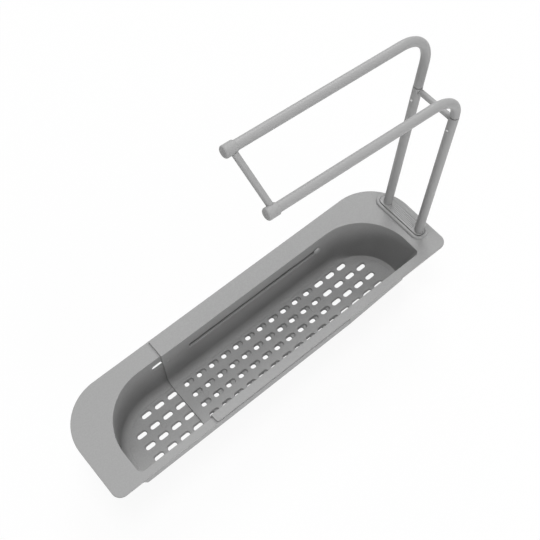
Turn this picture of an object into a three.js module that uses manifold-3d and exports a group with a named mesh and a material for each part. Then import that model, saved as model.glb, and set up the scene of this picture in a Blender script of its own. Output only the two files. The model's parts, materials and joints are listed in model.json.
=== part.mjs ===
// Expandable sink rack: two nested trays that slide on guide studs, and a plug-in towel frame
// with a low and a high rail. Millimetres, +Z up. The origin is on the underside of the left
// tray's floor, below the middle of the closed rack. +X points to the towel frame, +Y to the rear.
import * as THREE from 'three';
import { mergeVertices } from 'three/addons/utils/BufferGeometryUtils.js';
import Module from 'manifold-3d';

const wasm = await Module();
wasm.setup();

// Trays
const CLOSED_LENGTH = 344;
const OVERLAP_SHARE = 0.4465;
const TRAY_WIDTH = 92;
const BASIN_DEPTH = 53.5;
const RIM_THICKNESS = 1.6;
const WALL_THICKNESS = 1.5;
const FLOOR_THICKNESS = 1.6;
const NEST_GAP = 0.4;
const FRONT_RIM = 7;
const REAR_RIM = 16.8;
const END_RIM = 25.6;
const RIM_REAR_RADIUS = 41;
const RIM_FRONT_RADIUS = 8;
const BASIN_FRONT_RADIUS = 7.2;
const BASIN_END_STRAIGHT = 9.7;
const FLOOR_FILLET = 7;
const FRONT_WALL_SLOPE = 10.8;
const RIM_SETBACK = 0.9;

// Front lips, turned down from the rims, and the tongue that rides over the left rim
const LIP_DEPTH = 8;
const LIP_THICKNESS = 1.5;
const LIP_START = 23;
const LIP_STOP = 16.4;
const LIP_RAMP = 4.5;
const RIGHT_LIP_START = 52.5;
const RIGHT_LIP_RISE = 6.5;
const TONGUE_SETBACK = 0.4;
const TONGUE_CORNER = 3;
const TONGUE_CLEARANCE = 0.4;

// Drain slots in the floors
const DRAIN_LENGTH = 10;
const DRAIN_WIDTH = 5;
const DRAIN_COLUMNS = 15;
const DRAIN_ROWS = 4;
const DRAIN_END_INSET = 49.85;
const DRAIN_OPEN_INSET = 12.3;
const DRAIN_REAR_INSET = 11.9;
const DRAIN_FRONT_INSET = 20.7;

// Sliding guide: studs that run in slots of the walls
const SLIDE_RESERVE = 17.6;
const GUIDE_DROP = 13.6;
const RIGHT_SLOT_HEIGHT = 5.3;
const LEFT_SLOT_HEIGHT = 7.2;
const LEFT_SLOT_LIFT = 0.8;
const GUIDE_PLAY = 0.35;
const STUD_SHANK = 4;
const LEFT_STUD_HEAD = 6.3;
const RIGHT_STUD_HEAD = 9.4;
const STUD_DOME = 2;
const STUD_FLANGE_THICKNESS = 1;
const STUD_FIT = 0.3;
const LEFT_STUD_REACH = 11.75;
const RIGHT_STUD_INSET = 4.5;
const LEFT_SLOT_OVERRUN = 11.2;
const ARM_HEIGHT = 12;
const ARM_MARGIN = 5.5;
const ARM_ROOT = 8;

// Towel frame: foot, legs, rails, caps
const FRAME_LEAN = 6.7;
const FOOT_INSET = 11.25;
const FOOT_FROM_FRONT = 43.35;
const FOOT_SEAT = 0.1;
const FOOT_SHIFT = 1.2;
const FOOT_WIDTH = 10.6;
const FOOT_LENGTH = 49.8;
const FOOT_THICKNESS = 1.2;
const FOOT_CORNER = 4.5;
const FOOT_GROOVES = 5;
const FOOT_GROOVE_WIDTH = 0.6;
const FOOT_GROOVE_DEPTH = 0.3;
const FOOT_GROOVE_PITCH = 1.6;
const FOOT_SPIGOT = 12;
const COLLAR_WIDTH = 2.8;
const COLLAR_LEDGE = 0.15;
const SEAT_GAP = 0.5;
const LEG_SPACING = 38;
const LEG_DIAMETER = 7.7;
const LEG_WALL = 0.7;
const LEG_HEIGHT = 142.8;
const TIE_DIAMETER = 5;
const TIE_DROP = 3.2;
const RAIL_DIAMETER = 7.45;
const RAIL_WALL = 1.2;
const RAIL_SHOULDER = 0.5;
const HIGH_RAIL_BEND = 32;
const LOW_RAIL_RISE = 27.1;
const HIGH_RAIL_RISE = 58.4;
const LOW_RAIL_REACH = 182.3;
const HIGH_RAIL_EXTRA = 6.8;
const SPIGOT_LENGTH = 24;
const SPIGOT_WALL = 0.6;
const CAP_DIAMETER = 9.3;
const CAP_LENGTH = 9.8;
const CAP_END = 2.2;
const CAP_ROUND = 1.2;
const END_BAR_DIAMETER = 5;
const END_BAR_INSET = 3.15;
const PLUG_FIT = 0.3;

// Snap buttons in the leg joints
const BUTTON_DIAMETER = 2;
const BUTTON_DROP = 13;
const BUTTON_PROUD = 0.45;
const BUTTON_HEAD = 2.8;
const BUTTON_HEAD_THICKNESS = 0.6;
const SPRING_WIDTH = 2;
const SPRING_LEAF = 0.3;
const SPRING_LENGTH = 10;
const SPRING_TIP = 2;

// Faceting
const ARC_STEPS = 8;
const SLOT_END_STEPS = 4;
const FILLET_STEPS = 3;
const TUBE_SIDES = 16;
const BORE_SIDES = 12;
const BEND_STEPS = 8;

// Derived planes, in the rack's own frame
const TRAY_OVERLAP = CLOSED_LENGTH * OVERLAP_SHARE;
const TRAY_LENGTH = (CLOSED_LENGTH + TRAY_OVERLAP) / 2;
const SLIDE_TRAVEL = TRAY_OVERLAP - SLIDE_RESERVE;
const LEFT_END = -CLOSED_LENGTH / 2;
const RIGHT_END = CLOSED_LENGTH / 2;
const FRONT = -TRAY_WIDTH / 2;
const REAR = TRAY_WIDTH / 2;
const LEFT_RIM_TOP = FLOOR_THICKNESS + BASIN_DEPTH;
const GUIDE_HEIGHT = LEFT_RIM_TOP - GUIDE_DROP;
const NEST_STEP = WALL_THICKNESS + NEST_GAP;
const BEYOND = 30;

// A tray is described from its closed end: inward(u) gives the X of a point u millimetres in.
const leftTray = {
  inward: (u) => LEFT_END + u,
  end: END_RIM,
  front: FRONT + FRONT_RIM,
  rear: REAR - REAR_RIM,
  floorTop: FLOOR_THICKNESS,
  rimTop: LEFT_RIM_TOP,
};
const rightTray = {
  inward: (u) => RIGHT_END - u,
  end: END_RIM,
  front: leftTray.front + NEST_STEP,
  rear: leftTray.rear - NEST_STEP,
  floorTop: leftTray.floorTop + NEST_GAP + FLOOR_THICKNESS,
  rimTop: LEFT_RIM_TOP + NEST_GAP + RIM_THICKNESS,
};
const basinRearRadius = rightTray.rear - rightTray.front - BASIN_FRONT_RADIUS - BASIN_END_STRAIGHT;
const leftStudX = leftTray.inward(TRAY_LENGTH + LEFT_STUD_REACH);
const rightStudX = rightTray.inward(TRAY_LENGTH - RIGHT_STUD_INSET);

// Materials
function finish(color, roughness, metalness = 0) {
  return new THREE.MeshStandardMaterial({ color, roughness, metalness });
}

const trayGrey = 0xa2a2a2;
const frameGrey = 0xa6a6a6;
const springSteel = 0xc4c6c8;

// Solids and booleans
function solid(geometry) {
  const bare = geometry.clone();
  bare.deleteAttribute('normal');
  bare.deleteAttribute('uv');
  const merged = mergeVertices(bare, 1e-4);
  const index = merged.index.array;
  const triangles = [];
  for (let i = 0; i < index.length; i += 3) {
    const [a, b, c] = [index[i], index[i + 1], index[i + 2]];
    if (a !== b && b !== c && c !== a) triangles.push(a, b, c);
  }
  return new wasm.Manifold(new wasm.Mesh({
    numProp: 3,
    vertProperties: merged.attributes.position.array,
    triVerts: Uint32Array.from(triangles),
  }));
}

function piece(name, body, material) {
  const { vertProperties, triVerts } = body.getMesh();
  const geometry = new THREE.BufferGeometry();
  geometry.setAttribute('position', new THREE.BufferAttribute(vertProperties, 3));
  geometry.setIndex(new THREE.BufferAttribute(triVerts, 1));
  geometry.computeVertexNormals();
  const mesh = new THREE.Mesh(geometry, material);
  mesh.name = name;
  return mesh;
}

// Outlines and simple bodies
function arc(x, y, radius, from, to, steps = ARC_STEPS) {
  return Array.from({ length: steps + 1 }, (_, i) => {
    const angle = THREE.MathUtils.degToRad(from + ((to - from) * i) / steps);
    return new THREE.Vector2(x + radius * Math.cos(angle), y + radius * Math.sin(angle));
  });
}

function stadium(x, y, length, width, steps = SLOT_END_STEPS) {
  const reach = (length - width) / 2;
  return new THREE.Shape([
    ...arc(x + reach, y, width / 2, -90, 90, steps),
    ...arc(x - reach, y, width / 2, 90, 270, steps),
  ]);
}

function roundedBox(width, length, radius) {
  const [x, y] = [width / 2 - radius, length / 2 - radius];
  const steps = SLOT_END_STEPS;
  return new THREE.Shape([
    ...arc(x, y, radius, 0, 90, steps),
    ...arc(-x, y, radius, 90, 180, steps),
    ...arc(-x, -y, radius, 180, 270, steps),
    ...arc(x, -y, radius, 270, 360, steps),
  ]);
}

function disc(radius, sides = TUBE_SIDES) {
  return new THREE.Shape(arc(0, 0, radius, 0, 360 - 360 / sides, sides - 1));
}

function prism(shapes, low, high) {
  const geometry = new THREE.ExtrudeGeometry(shapes, { depth: high - low, bevelEnabled: false });
  return geometry.translate(0, 0, low);
}

// A prism whose outline lies in the XZ plane and which runs along Y.
function wallPrism(shapes, near, far) {
  const geometry = new THREE.ExtrudeGeometry(shapes, { depth: far - near, bevelEnabled: false });
  return geometry.rotateX(Math.PI / 2).translate(0, far, 0);
}

function box(low, high) {
  const size = new THREE.Vector3().subVectors(high, low);
  const middle = new THREE.Vector3().addVectors(low, high).multiplyScalar(0.5);
  return new THREE.BoxGeometry(size.x, size.y, size.z).translate(middle.x, middle.y, middle.z);
}

function rod(from, to, radius, sides = TUBE_SIDES) {
  const along = new THREE.Vector3().subVectors(to, from);
  const geometry = new THREE.CylinderGeometry(radius, radius, along.length(), sides);
  const lying = new THREE.Vector3(0, 1, 0);
  const turn = new THREE.Quaternion().setFromUnitVectors(lying, along.clone().normalize());
  const middle = new THREE.Vector3().addVectors(from, to).multiplyScalar(0.5);
  return geometry.applyQuaternion(turn).translate(middle.x, middle.y, middle.z);
}

// A tub with an upright wall and a rounded bottom edge. Its top runs past the given height.
function tub(shape, bottom, top, fillet) {
  const geometry = new THREE.ExtrudeGeometry(shape, {
    depth: top - bottom - fillet,
    bevelThickness: fillet,
    bevelSize: fillet,
    bevelOffset: -fillet,
    bevelSegments: FILLET_STEPS,
  });
  return geometry.translate(0, 0, bottom + fillet);
}

// The front walls lean in towards the floor, the rear walls stand upright. Every wall piece of
// both trays is leaned by this one rule, so that the gaps between them stay open.
function lean(geometry) {
  const slope = Math.tan(THREE.MathUtils.degToRad(FRONT_WALL_SLOPE));
  const at = geometry.attributes.position;
  for (let i = 0; i < at.count; i += 1) {
    const share = (leftTray.rear - at.getY(i)) / (leftTray.rear - leftTray.front);
    at.setY(i, at.getY(i) + slope * (LEFT_RIM_TOP - at.getZ(i)) * share);
  }
  return geometry;
}

// Trays
function trayShape(tray, points) {
  return new THREE.Shape(points.map(([u, y]) => new THREE.Vector2(tray.inward(u), y)));
}

function closedEnd(end, front, rear, frontRadius, rearRadius) {
  return [
    ...arc(end + frontRadius, front + frontRadius, frontRadius, 270, 180),
    ...arc(end + rearRadius, rear - rearRadius, rearRadius, 180, 90),
  ].map((point) => point.toArray());
}

function basinShape(tray, thickness, open) {
  const [front, rear] = [tray.front - thickness, tray.rear + thickness];
  const [frontRadius, rearRadius] = [BASIN_FRONT_RADIUS + thickness, basinRearRadius + thickness];
  const end = closedEnd(tray.end - thickness, front, rear, frontRadius, rearRadius);
  return trayShape(tray, [[open, front], ...end, [open, rear]]);
}

const lipEnd = TRAY_LENGTH - LIP_STOP;
const tongueStart = CLOSED_LENGTH - lipEnd - TONGUE_CLEARANCE;

// Past its own lip the left rim is notched, to let the right lip hang down in front of it.
function leftRim() {
  const notch = FRONT + LIP_THICKNESS + NEST_GAP;
  const end = closedEnd(0, FRONT, REAR, RIM_FRONT_RADIUS, RIM_REAR_RADIUS);
  return trayShape(leftTray, [
    [TRAY_LENGTH, notch],
    [lipEnd, notch],
    [lipEnd, FRONT],
    ...end,
    [TRAY_LENGTH, REAR],
  ]);
}

function rightRim() {
  const rear = REAR - RIM_SETBACK;
  const tongue = FRONT + TONGUE_SETBACK;
  const [cornerU, cornerY] = [TRAY_LENGTH - TONGUE_CORNER, tongue + TONGUE_CORNER];
  const corner = arc(cornerU, cornerY, TONGUE_CORNER, 0, -90, SLOT_END_STEPS);
  const end = closedEnd(0, FRONT, rear, RIM_FRONT_RADIUS, RIM_REAR_RADIUS);
  return trayShape(rightTray, [
    ...corner.map((point) => point.toArray()),
    [tongueStart, tongue],
    [tongueStart, FRONT],
    ...end,
    [TRAY_LENGTH, rear],
  ]);
}

const lipLow = LEFT_RIM_TOP - LIP_DEPTH;

function leftLip() {
  const top = LEFT_RIM_TOP - RIM_THICKNESS / 2;
  const shape = trayShape(leftTray, [
    [LIP_START, top],
    [LIP_START, LEFT_RIM_TOP - RIM_THICKNESS],
    [LIP_START + LIP_RAMP, lipLow],
    [lipEnd, lipLow],
    [lipEnd, top],
  ]);
  return wallPrism(shape, FRONT, FRONT + LIP_THICKNESS);
}

function rightLip() {
  const top = rightTray.rimTop - RIM_THICKNESS / 2;
  const shape = trayShape(rightTray, [
    [RIGHT_LIP_START, top],
    [RIGHT_LIP_START, lipLow + RIGHT_LIP_RISE],
    [tongueStart, lipLow],
    [tongueStart, top],
  ]);
  return wallPrism(shape, FRONT, FRONT + LIP_THICKNESS);
}

// The rows and columns of drain slots are spread evenly between their insets.
function drains(tray) {
  const shapes = [];
  const width = leftTray.rear - leftTray.front;
  const columnPitch = (TRAY_LENGTH - DRAIN_END_INSET - DRAIN_OPEN_INSET) / (DRAIN_COLUMNS - 1);
  const rowPitch = (width - DRAIN_REAR_INSET - DRAIN_FRONT_INSET) / (DRAIN_ROWS - 1);
  for (let row = 0; row < DRAIN_ROWS; row += 1) {
    const y = leftTray.rear - DRAIN_REAR_INSET - row * rowPitch;
    const skipped = row === 0 ? 1 : 0;
    for (let column = skipped; column < DRAIN_COLUMNS; column += 1) {
      const x = tray.inward(DRAIN_END_INSET + column * columnPitch);
      shapes.push(stadium(x, y, DRAIN_LENGTH, DRAIN_WIDTH));
    }
  }
  return prism(shapes, tray.floorTop - FLOOR_THICKNESS - 1, tray.floorTop + 1);
}

function shell(tray, rim, lip) {
  const underside = tray.floorTop - FLOOR_THICKNESS;
  const past = TRAY_LENGTH + BEYOND;
  const openCorner = new THREE.Vector3(tray.inward(TRAY_LENGTH), FRONT - BEYOND, underside - BEYOND);
  const farCorner = new THREE.Vector3(tray.inward(past + BEYOND), REAR + BEYOND, tray.rimTop + BEYOND);
  const beyondOpenEnd = box(openCorner.clone().min(farCorner), openCorner.clone().max(farCorner));
  const aboveRim = box(
    new THREE.Vector3(-CLOSED_LENGTH, FRONT - BEYOND, tray.rimTop),
    new THREE.Vector3(CLOSED_LENGTH, REAR + BEYOND, tray.rimTop + BEYOND),
  );
  const outerFillet = FLOOR_FILLET + WALL_THICKNESS;
  const outer = tub(basinShape(tray, WALL_THICKNESS, past), underside, tray.rimTop, outerFillet);
  const inner = tub(basinShape(tray, 0, past), tray.floorTop, tray.rimTop, FLOOR_FILLET);
  return solid(prism(rim, tray.rimTop - RIM_THICKNESS, tray.rimTop))
    .add(solid(lean(outer)).subtract(solid(aboveRim)).subtract(solid(beyondOpenEnd)))
    .add(solid(lip))
    .subtract(solid(lean(inner)))
    .subtract(solid(drains(tray)));
}

// Slots that the studs of the other tray run in, cut through the front and rear walls.
function guideSlots(from, to, tray, middle, height) {
  const length = to - from + height + GUIDE_PLAY;
  const slot = stadium((from + to) / 2, middle, length, height);
  const reach = WALL_THICKNESS + GUIDE_PLAY;
  return solid(lean(wallPrism(slot, tray.front - reach, tray.front + reach)))
    .add(solid(lean(wallPrism(slot, tray.rear - reach, tray.rear + reach))));
}

function studHoles(x, tray) {
  const radius = STUD_SHANK / 2 + STUD_FIT;
  const through = (wall, outward) => solid(lean(rod(
    new THREE.Vector3(x, wall - outward * STUD_FIT, GUIDE_HEIGHT),
    new THREE.Vector3(x, wall + outward * (WALL_THICKNESS + STUD_FIT), GUIDE_HEIGHT),
    radius,
    BORE_SIDES,
  )));
  return through(tray.front, -1).add(through(tray.rear, 1));
}

// Arms that carry the left tray's studs past its open end, outside the right tray's walls.
function studArms() {
  const root = leftTray.inward(TRAY_LENGTH - ARM_ROOT);
  const length = leftStudX + ARM_MARGIN - root;
  const arm = stadium(root + length / 2, GUIDE_HEIGHT, length, ARM_HEIGHT);
  return solid(lean(wallPrism(arm, leftTray.front - WALL_THICKNESS, leftTray.front)))
    .add(solid(lean(wallPrism(arm, leftTray.rear, leftTray.rear + WALL_THICKNESS))));
}

// Towel frame's own frame: its origin is under the middle of the foot, and it leans to +X.
const frame = new THREE.Group();
frame.position.set(RIGHT_END - FOOT_INSET, FRONT + FOOT_FROM_FRONT, rightTray.rimTop + FOOT_SEAT);
frame.rotation.y = THREE.MathUtils.degToRad(FRAME_LEAN);
frame.updateMatrix();

// The collar's top lies parallel to the leaning foot plate, so the collar runs out towards the rack's end.
function collar() {
  const outline = roundedBox(
    FOOT_WIDTH + 2 * (SEAT_GAP + COLLAR_WIDTH),
    FOOT_LENGTH + 2 * (SEAT_GAP + COLLAR_WIDTH),
    FOOT_CORNER + SEAT_GAP + COLLAR_WIDTH,
  );
  const [low, high] = [rightTray.rimTop - RIM_THICKNESS / 2, rightTray.rimTop + BEYOND];
  const raised = prism(outline, low, high).translate(frame.position.x, frame.position.y + FOOT_SHIFT, 0);
  const above = box(
    new THREE.Vector3(-FOOT_LENGTH, -FOOT_LENGTH, FOOT_THICKNESS + COLLAR_LEDGE),
    new THREE.Vector3(FOOT_LENGTH, FOOT_LENGTH, FOOT_THICKNESS + 2 * BEYOND),
  );
  return solid(raised)
    .intersect(solid(prism(rightRim(), low, high)))
    .subtract(solid(above.applyMatrix4(frame.matrix)));
}

function footPocket() {
  const [width, length] = [FOOT_WIDTH + 2 * SEAT_GAP, FOOT_LENGTH + 2 * SEAT_GAP];
  const outline = roundedBox(width, length, FOOT_CORNER + SEAT_GAP);
  const pocket = prism(outline, -PLUG_FIT, BEYOND).translate(0, FOOT_SHIFT, 0);
  return solid(pocket.applyMatrix4(frame.matrix));
}

function makeLeftTray() {
  const [from, to] = [rightStudX - LEFT_SLOT_OVERRUN, rightStudX + SLIDE_TRAVEL];
  const body = shell(leftTray, leftRim(), leftLip())
    .add(studArms())
    .subtract(guideSlots(from, to, leftTray, GUIDE_HEIGHT + LEFT_SLOT_LIFT, LEFT_SLOT_HEIGHT))
    .subtract(studHoles(leftStudX, leftTray));
  return piece('left_tray', body, finish(trayGrey, 0.55));
}

function makeRightTray() {
  const body = shell(rightTray, rightRim(), rightLip())
    .add(collar())
    .subtract(footPocket())
    .subtract(guideSlots(leftStudX - SLIDE_TRAVEL, leftStudX, rightTray, GUIDE_HEIGHT, RIGHT_SLOT_HEIGHT))
    .subtract(studHoles(rightStudX, rightTray));
  return piece('right_tray', body, finish(trayGrey, 0.55));
}

// Guide studs. A stud's profile runs along its axis, outward from the right tray's inner wall face.
const pairThickness = 2 * WALL_THICKNESS + NEST_GAP;

function dome(radius, base, tip) {
  const steps = SLOT_END_STEPS;
  return Array.from({ length: steps + 1 }, (_, i) => {
    const angle = (i / steps) * (Math.PI / 2);
    return new THREE.Vector2(radius * Math.cos(angle), base + (tip - base) * Math.sin(angle));
  });
}

function stud(name, profile, x, outward) {
  const wall = outward > 0 ? rightTray.rear : rightTray.front;
  const geometry = new THREE.LatheGeometry(profile, TUBE_SIDES);
  if (outward < 0) geometry.rotateZ(Math.PI);
  return piece(name, solid(lean(geometry.translate(x, wall, GUIDE_HEIGHT))), finish(trayGrey, 0.45));
}

function leftStudProfile() {
  const flange = pairThickness + STUD_FIT;
  const [shank, head] = [STUD_SHANK / 2, LEFT_STUD_HEAD / 2];
  return [
    ...dome(head, -GUIDE_PLAY, -GUIDE_PLAY - STUD_DOME).reverse(),
    new THREE.Vector2(shank, -GUIDE_PLAY),
    new THREE.Vector2(shank, flange),
    new THREE.Vector2(head, flange),
    new THREE.Vector2(head, flange + STUD_FLANGE_THICKNESS),
    new THREE.Vector2(0, flange + STUD_FLANGE_THICKNESS),
  ];
}

function rightStudProfile() {
  const base = pairThickness + GUIDE_PLAY;
  const shank = STUD_SHANK / 2;
  return [
    new THREE.Vector2(0, 0),
    new THREE.Vector2(shank, 0),
    new THREE.Vector2(shank, base),
    ...dome(RIGHT_STUD_HEAD / 2, base, base + STUD_DOME),
  ];
}

// Legs and rails, in the towel frame's own frame
const legBore = LEG_DIAMETER / 2 - LEG_WALL;
const spigotRadius = legBore - PLUG_FIT;
const spigotBore = spigotRadius - SPIGOT_WALL;
const railRadius = RAIL_DIAMETER / 2;
const railBore = railRadius - RAIL_WALL;
const insideBore = (width) => Math.sqrt((spigotBore - PLUG_FIT) ** 2 - (width / 2) ** 2);
const buttonHeadTop = insideBore(BUTTON_HEAD);
const buttonHeight = LEG_HEIGHT - BUTTON_DROP;
const tieHeight = LEG_HEIGHT - TIE_DROP;
const capBore = railRadius + PLUG_FIT;
const front = {
  side: -1,
  y: -LEG_SPACING / 2,
  rail: LEG_HEIGHT + LOW_RAIL_RISE,
  bend: LOW_RAIL_RISE - RAIL_SHOULDER,
  reach: LOW_RAIL_REACH,
};
const rear = {
  side: 1,
  y: LEG_SPACING / 2,
  rail: LEG_HEIGHT + HIGH_RAIL_RISE,
  bend: HIGH_RAIL_BEND,
  reach: LOW_RAIL_REACH + HIGH_RAIL_EXTRA,
};

function makeFootPlate() {
  const plate = prism(roundedBox(FOOT_WIDTH, FOOT_LENGTH, FOOT_CORNER), 0, FOOT_THICKNESS);
  let body = solid(plate.translate(0, FOOT_SHIFT, 0));
  const grooveReach = LEG_SPACING / 2 - LEG_DIAMETER / 2 - FOOT_GROOVE_WIDTH;
  for (let i = 0; i < FOOT_GROOVES; i += 1) {
    const x = (i - (FOOT_GROOVES - 1) / 2) * FOOT_GROOVE_PITCH;
    body = body.subtract(solid(box(
      new THREE.Vector3(x - FOOT_GROOVE_WIDTH / 2, -grooveReach, FOOT_THICKNESS - FOOT_GROOVE_DEPTH),
      new THREE.Vector3(x + FOOT_GROOVE_WIDTH / 2, grooveReach, FOOT_THICKNESS + FOOT_GROOVE_DEPTH),
    )));
  }
  for (const leg of [front, rear]) {
    const spigot = prism(disc(spigotRadius), FOOT_THICKNESS / 2, FOOT_THICKNESS + FOOT_SPIGOT);
    body = body.add(solid(spigot.translate(0, leg.y, 0)));
  }
  return piece('foot_plate', body, finish(frameGrey, 0.5));
}

function buttonBore(leg) {
  const radius = BUTTON_DIAMETER / 2 + PLUG_FIT;
  return solid(rod(
    new THREE.Vector3(-LEG_DIAMETER, leg.y, buttonHeight),
    new THREE.Vector3(0, leg.y, buttonHeight),
    radius,
    BORE_SIDES,
  ));
}

function makeLeg(name, leg) {
  const ring = disc(LEG_DIAMETER / 2);
  ring.holes.push(disc(legBore));
  const tube = prism(ring, FOOT_THICKNESS + PLUG_FIT, LEG_HEIGHT).translate(0, leg.y, 0);
  const tieHole = rod(
    new THREE.Vector3(0, leg.y, tieHeight),
    new THREE.Vector3(0, leg.y - leg.side * LEG_DIAMETER, tieHeight),
    TIE_DIAMETER / 2 + PLUG_FIT,
    BORE_SIDES,
  );
  const body = solid(tube).subtract(solid(tieHole)).subtract(buttonBore(leg));
  return piece(name, body, finish(frameGrey, 0.45));
}

function makeLegCrossbar() {
  const reach = LEG_SPACING / 2 - legBore - PLUG_FIT / 2;
  const bar = rod(
    new THREE.Vector3(0, -reach, tieHeight),
    new THREE.Vector3(0, reach, tieHeight),
    TIE_DIAMETER / 2,
    BORE_SIDES,
  );
  return piece('leg_crossbar', solid(bar), finish(frameGrey, 0.45));
}

// A centre line that rises, bends through a right angle and runs level to -X. It is stepped at
// its own points, so that only the bend has short steps.
class BentLine extends THREE.Curve {
  constructor(leg, low, reach) {
    super();
    const bend = arc(-leg.bend, leg.rail - leg.bend, leg.bend, 0, 90, BEND_STEPS);
    const flat = [new THREE.Vector2(0, low), ...bend, new THREE.Vector2(-reach, leg.rail)];
    this.points = flat.map((point) => new THREE.Vector3(point.x, leg.y, point.y));
  }

  get steps() {
    return this.points.length - 1;
  }

  getPoint(t, target = new THREE.Vector3()) {
    const place = t * this.steps;
    const first = Math.min(Math.floor(place), this.steps - 1);
    return target.lerpVectors(this.points[first], this.points[first + 1], place - first);
  }

  getPointAt(u, target) {
    return this.getPoint(u, target);
  }

  getTangentAt(u, target) {
    return this.getTangent(u, target);
  }
}

function bentBar(radius, sides, line) {
  return solid(new THREE.ExtrudeGeometry(disc(radius, sides), { steps: line.steps, extrudePath: line }));
}

function makeRail(name, leg) {
  const shoulder = LEG_HEIGHT + PLUG_FIT;
  const tip = LEG_HEIGHT - SPIGOT_LENGTH;
  const end = leg.reach - CAP_END - PLUG_FIT;
  const tube = bentBar(railRadius, TUBE_SIDES, new BentLine(leg, shoulder, end));
  const spigot = prism(disc(spigotRadius), tip, shoulder + RAIL_WALL).translate(0, leg.y, 0);
  const railHollow = bentBar(railBore, BORE_SIDES, new BentLine(leg, shoulder, end + BEYOND));
  const spigotHollow = prism(disc(spigotBore), tip - 1, shoulder + RAIL_WALL).translate(0, leg.y, 0);
  const body = tube.add(solid(spigot))
    .subtract(railHollow)
    .subtract(solid(spigotHollow))
    .subtract(buttonBore(leg));
  return piece(name, body, finish(frameGrey, 0.45));
}

function makeSnapButton(name, leg) {
  const tip = LEG_DIAMETER / 2 + BUTTON_PROUD;
  const radius = BUTTON_DIAMETER / 2;
  const profile = [
    new THREE.Vector2(0, buttonHeadTop - BUTTON_HEAD_THICKNESS),
    new THREE.Vector2(BUTTON_HEAD / 2, buttonHeadTop - BUTTON_HEAD_THICKNESS),
    new THREE.Vector2(BUTTON_HEAD / 2, buttonHeadTop),
    new THREE.Vector2(radius, buttonHeadTop),
    new THREE.Vector2(radius, tip - BUTTON_PROUD),
    new THREE.Vector2(radius * Math.SQRT1_2, tip - BUTTON_PROUD * (1 - Math.SQRT1_2)),
    new THREE.Vector2(0, tip),
  ];
  const geometry = new THREE.LatheGeometry(profile, BORE_SIDES).rotateZ(Math.PI / 2);
  return piece(name, solid(geometry.translate(0, leg.y, buttonHeight)), finish(springSteel, 0.35, 0.8));
}

function makeButtonSpring(name, leg) {
  const near = BUTTON_HEAD_THICKNESS + PLUG_FIT - buttonHeadTop;
  const far = insideBore(SPRING_WIDTH);
  const [low, top] = [buttonHeight - SPRING_LENGTH, buttonHeight + SPRING_TIP];
  const elbow = buttonHeight - SPRING_TIP;
  const leaf = new THREE.Shape([
    [far, low],
    [far, top],
    [far - SPRING_LEAF, top],
    [far - SPRING_LEAF, low + SPRING_TIP],
    [near + SPRING_LEAF, elbow],
    [near + SPRING_LEAF, top],
    [near, top],
    [near, elbow],
    [far - 2 * SPRING_LEAF, low],
  ].map(([x, z]) => new THREE.Vector2(x, z)));
  const body = solid(wallPrism(leaf, leg.y - SPRING_WIDTH / 2, leg.y + SPRING_WIDTH / 2));
  return piece(name, body, finish(springSteel, 0.3, 0.9));
}

// End caps and the bar between them
const barEnd = (leg) => new THREE.Vector3(CAP_LENGTH - END_BAR_INSET - leg.reach, leg.y, leg.rail);

function makeEndCap(name, leg, barHole) {
  const radius = CAP_DIAMETER / 2;
  const profile = [
    new THREE.Vector2(0, CAP_LENGTH),
    ...arc(radius - CAP_ROUND, CAP_LENGTH - CAP_ROUND, CAP_ROUND, 90, 0, FILLET_STEPS),
    new THREE.Vector2(radius, 0),
    new THREE.Vector2(capBore, 0),
    new THREE.Vector2(capBore, CAP_LENGTH - CAP_END),
    new THREE.Vector2(0, CAP_LENGTH - CAP_END),
  ].reverse();
  const cup = new THREE.LatheGeometry(profile, TUBE_SIDES).rotateZ(Math.PI / 2);
  const body = solid(cup.translate(CAP_LENGTH - leg.reach, leg.y, leg.rail)).subtract(barHole);
  return piece(name, body, finish(frameGrey, 0.5));
}

const barFrom = barEnd(front);
const barTo = barEnd(rear);
const barAlong = new THREE.Vector3().subVectors(barTo, barFrom).normalize();
const barHole = solid(rod(barFrom, barTo, END_BAR_DIAMETER / 2 + PLUG_FIT));

function makeEndCrossbar() {
  const inset = barAlong.clone().multiplyScalar(capBore + PLUG_FIT);
  const bar = rod(barFrom.clone().add(inset), barTo.clone().sub(inset), END_BAR_DIAMETER / 2);
  return piece('end_crossbar', solid(bar), finish(frameGrey, 0.5));
}

frame.add(
  makeFootPlate(),
  makeLeg('front_leg', front),
  makeLeg('rear_leg', rear),
  makeLegCrossbar(),
  makeRail('low_rail', front),
  makeRail('high_rail', rear),
  makeSnapButton('low_snap_button', front),
  makeSnapButton('high_snap_button', rear),
  makeButtonSpring('low_button_spring', front),
  makeButtonSpring('high_button_spring', rear),
  makeEndCap('low_end_cap', front, barHole),
  makeEndCap('high_end_cap', rear, barHole),
  makeEndCrossbar(),
);

const rack = new THREE.Group();
rack.add(
  makeLeftTray(),
  makeRightTray(),
  stud('left_front_stud', leftStudProfile(), leftStudX, -1),
  stud('left_rear_stud', leftStudProfile(), leftStudX, 1),
  stud('right_front_stud', rightStudProfile(), rightStudX, -1),
  stud('right_rear_stud', rightStudProfile(), rightStudX, 1),
  frame,
);

export default rack;
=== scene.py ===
"""Expandable sink rack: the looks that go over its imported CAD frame.

Two moulded trays nest and slide on guide studs, and a plug-in towel frame of coated tube stands on the
right one. Sizes are in millimetres in the part's own frame, and the finished meshes are in metres.
"""

from __future__ import annotations

import json
import logging
import math
from dataclasses import dataclass
from enum import Enum
from typing import Callable, Sequence, Union

import bmesh
import bpy
from mathutils import Matrix, Vector

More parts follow.
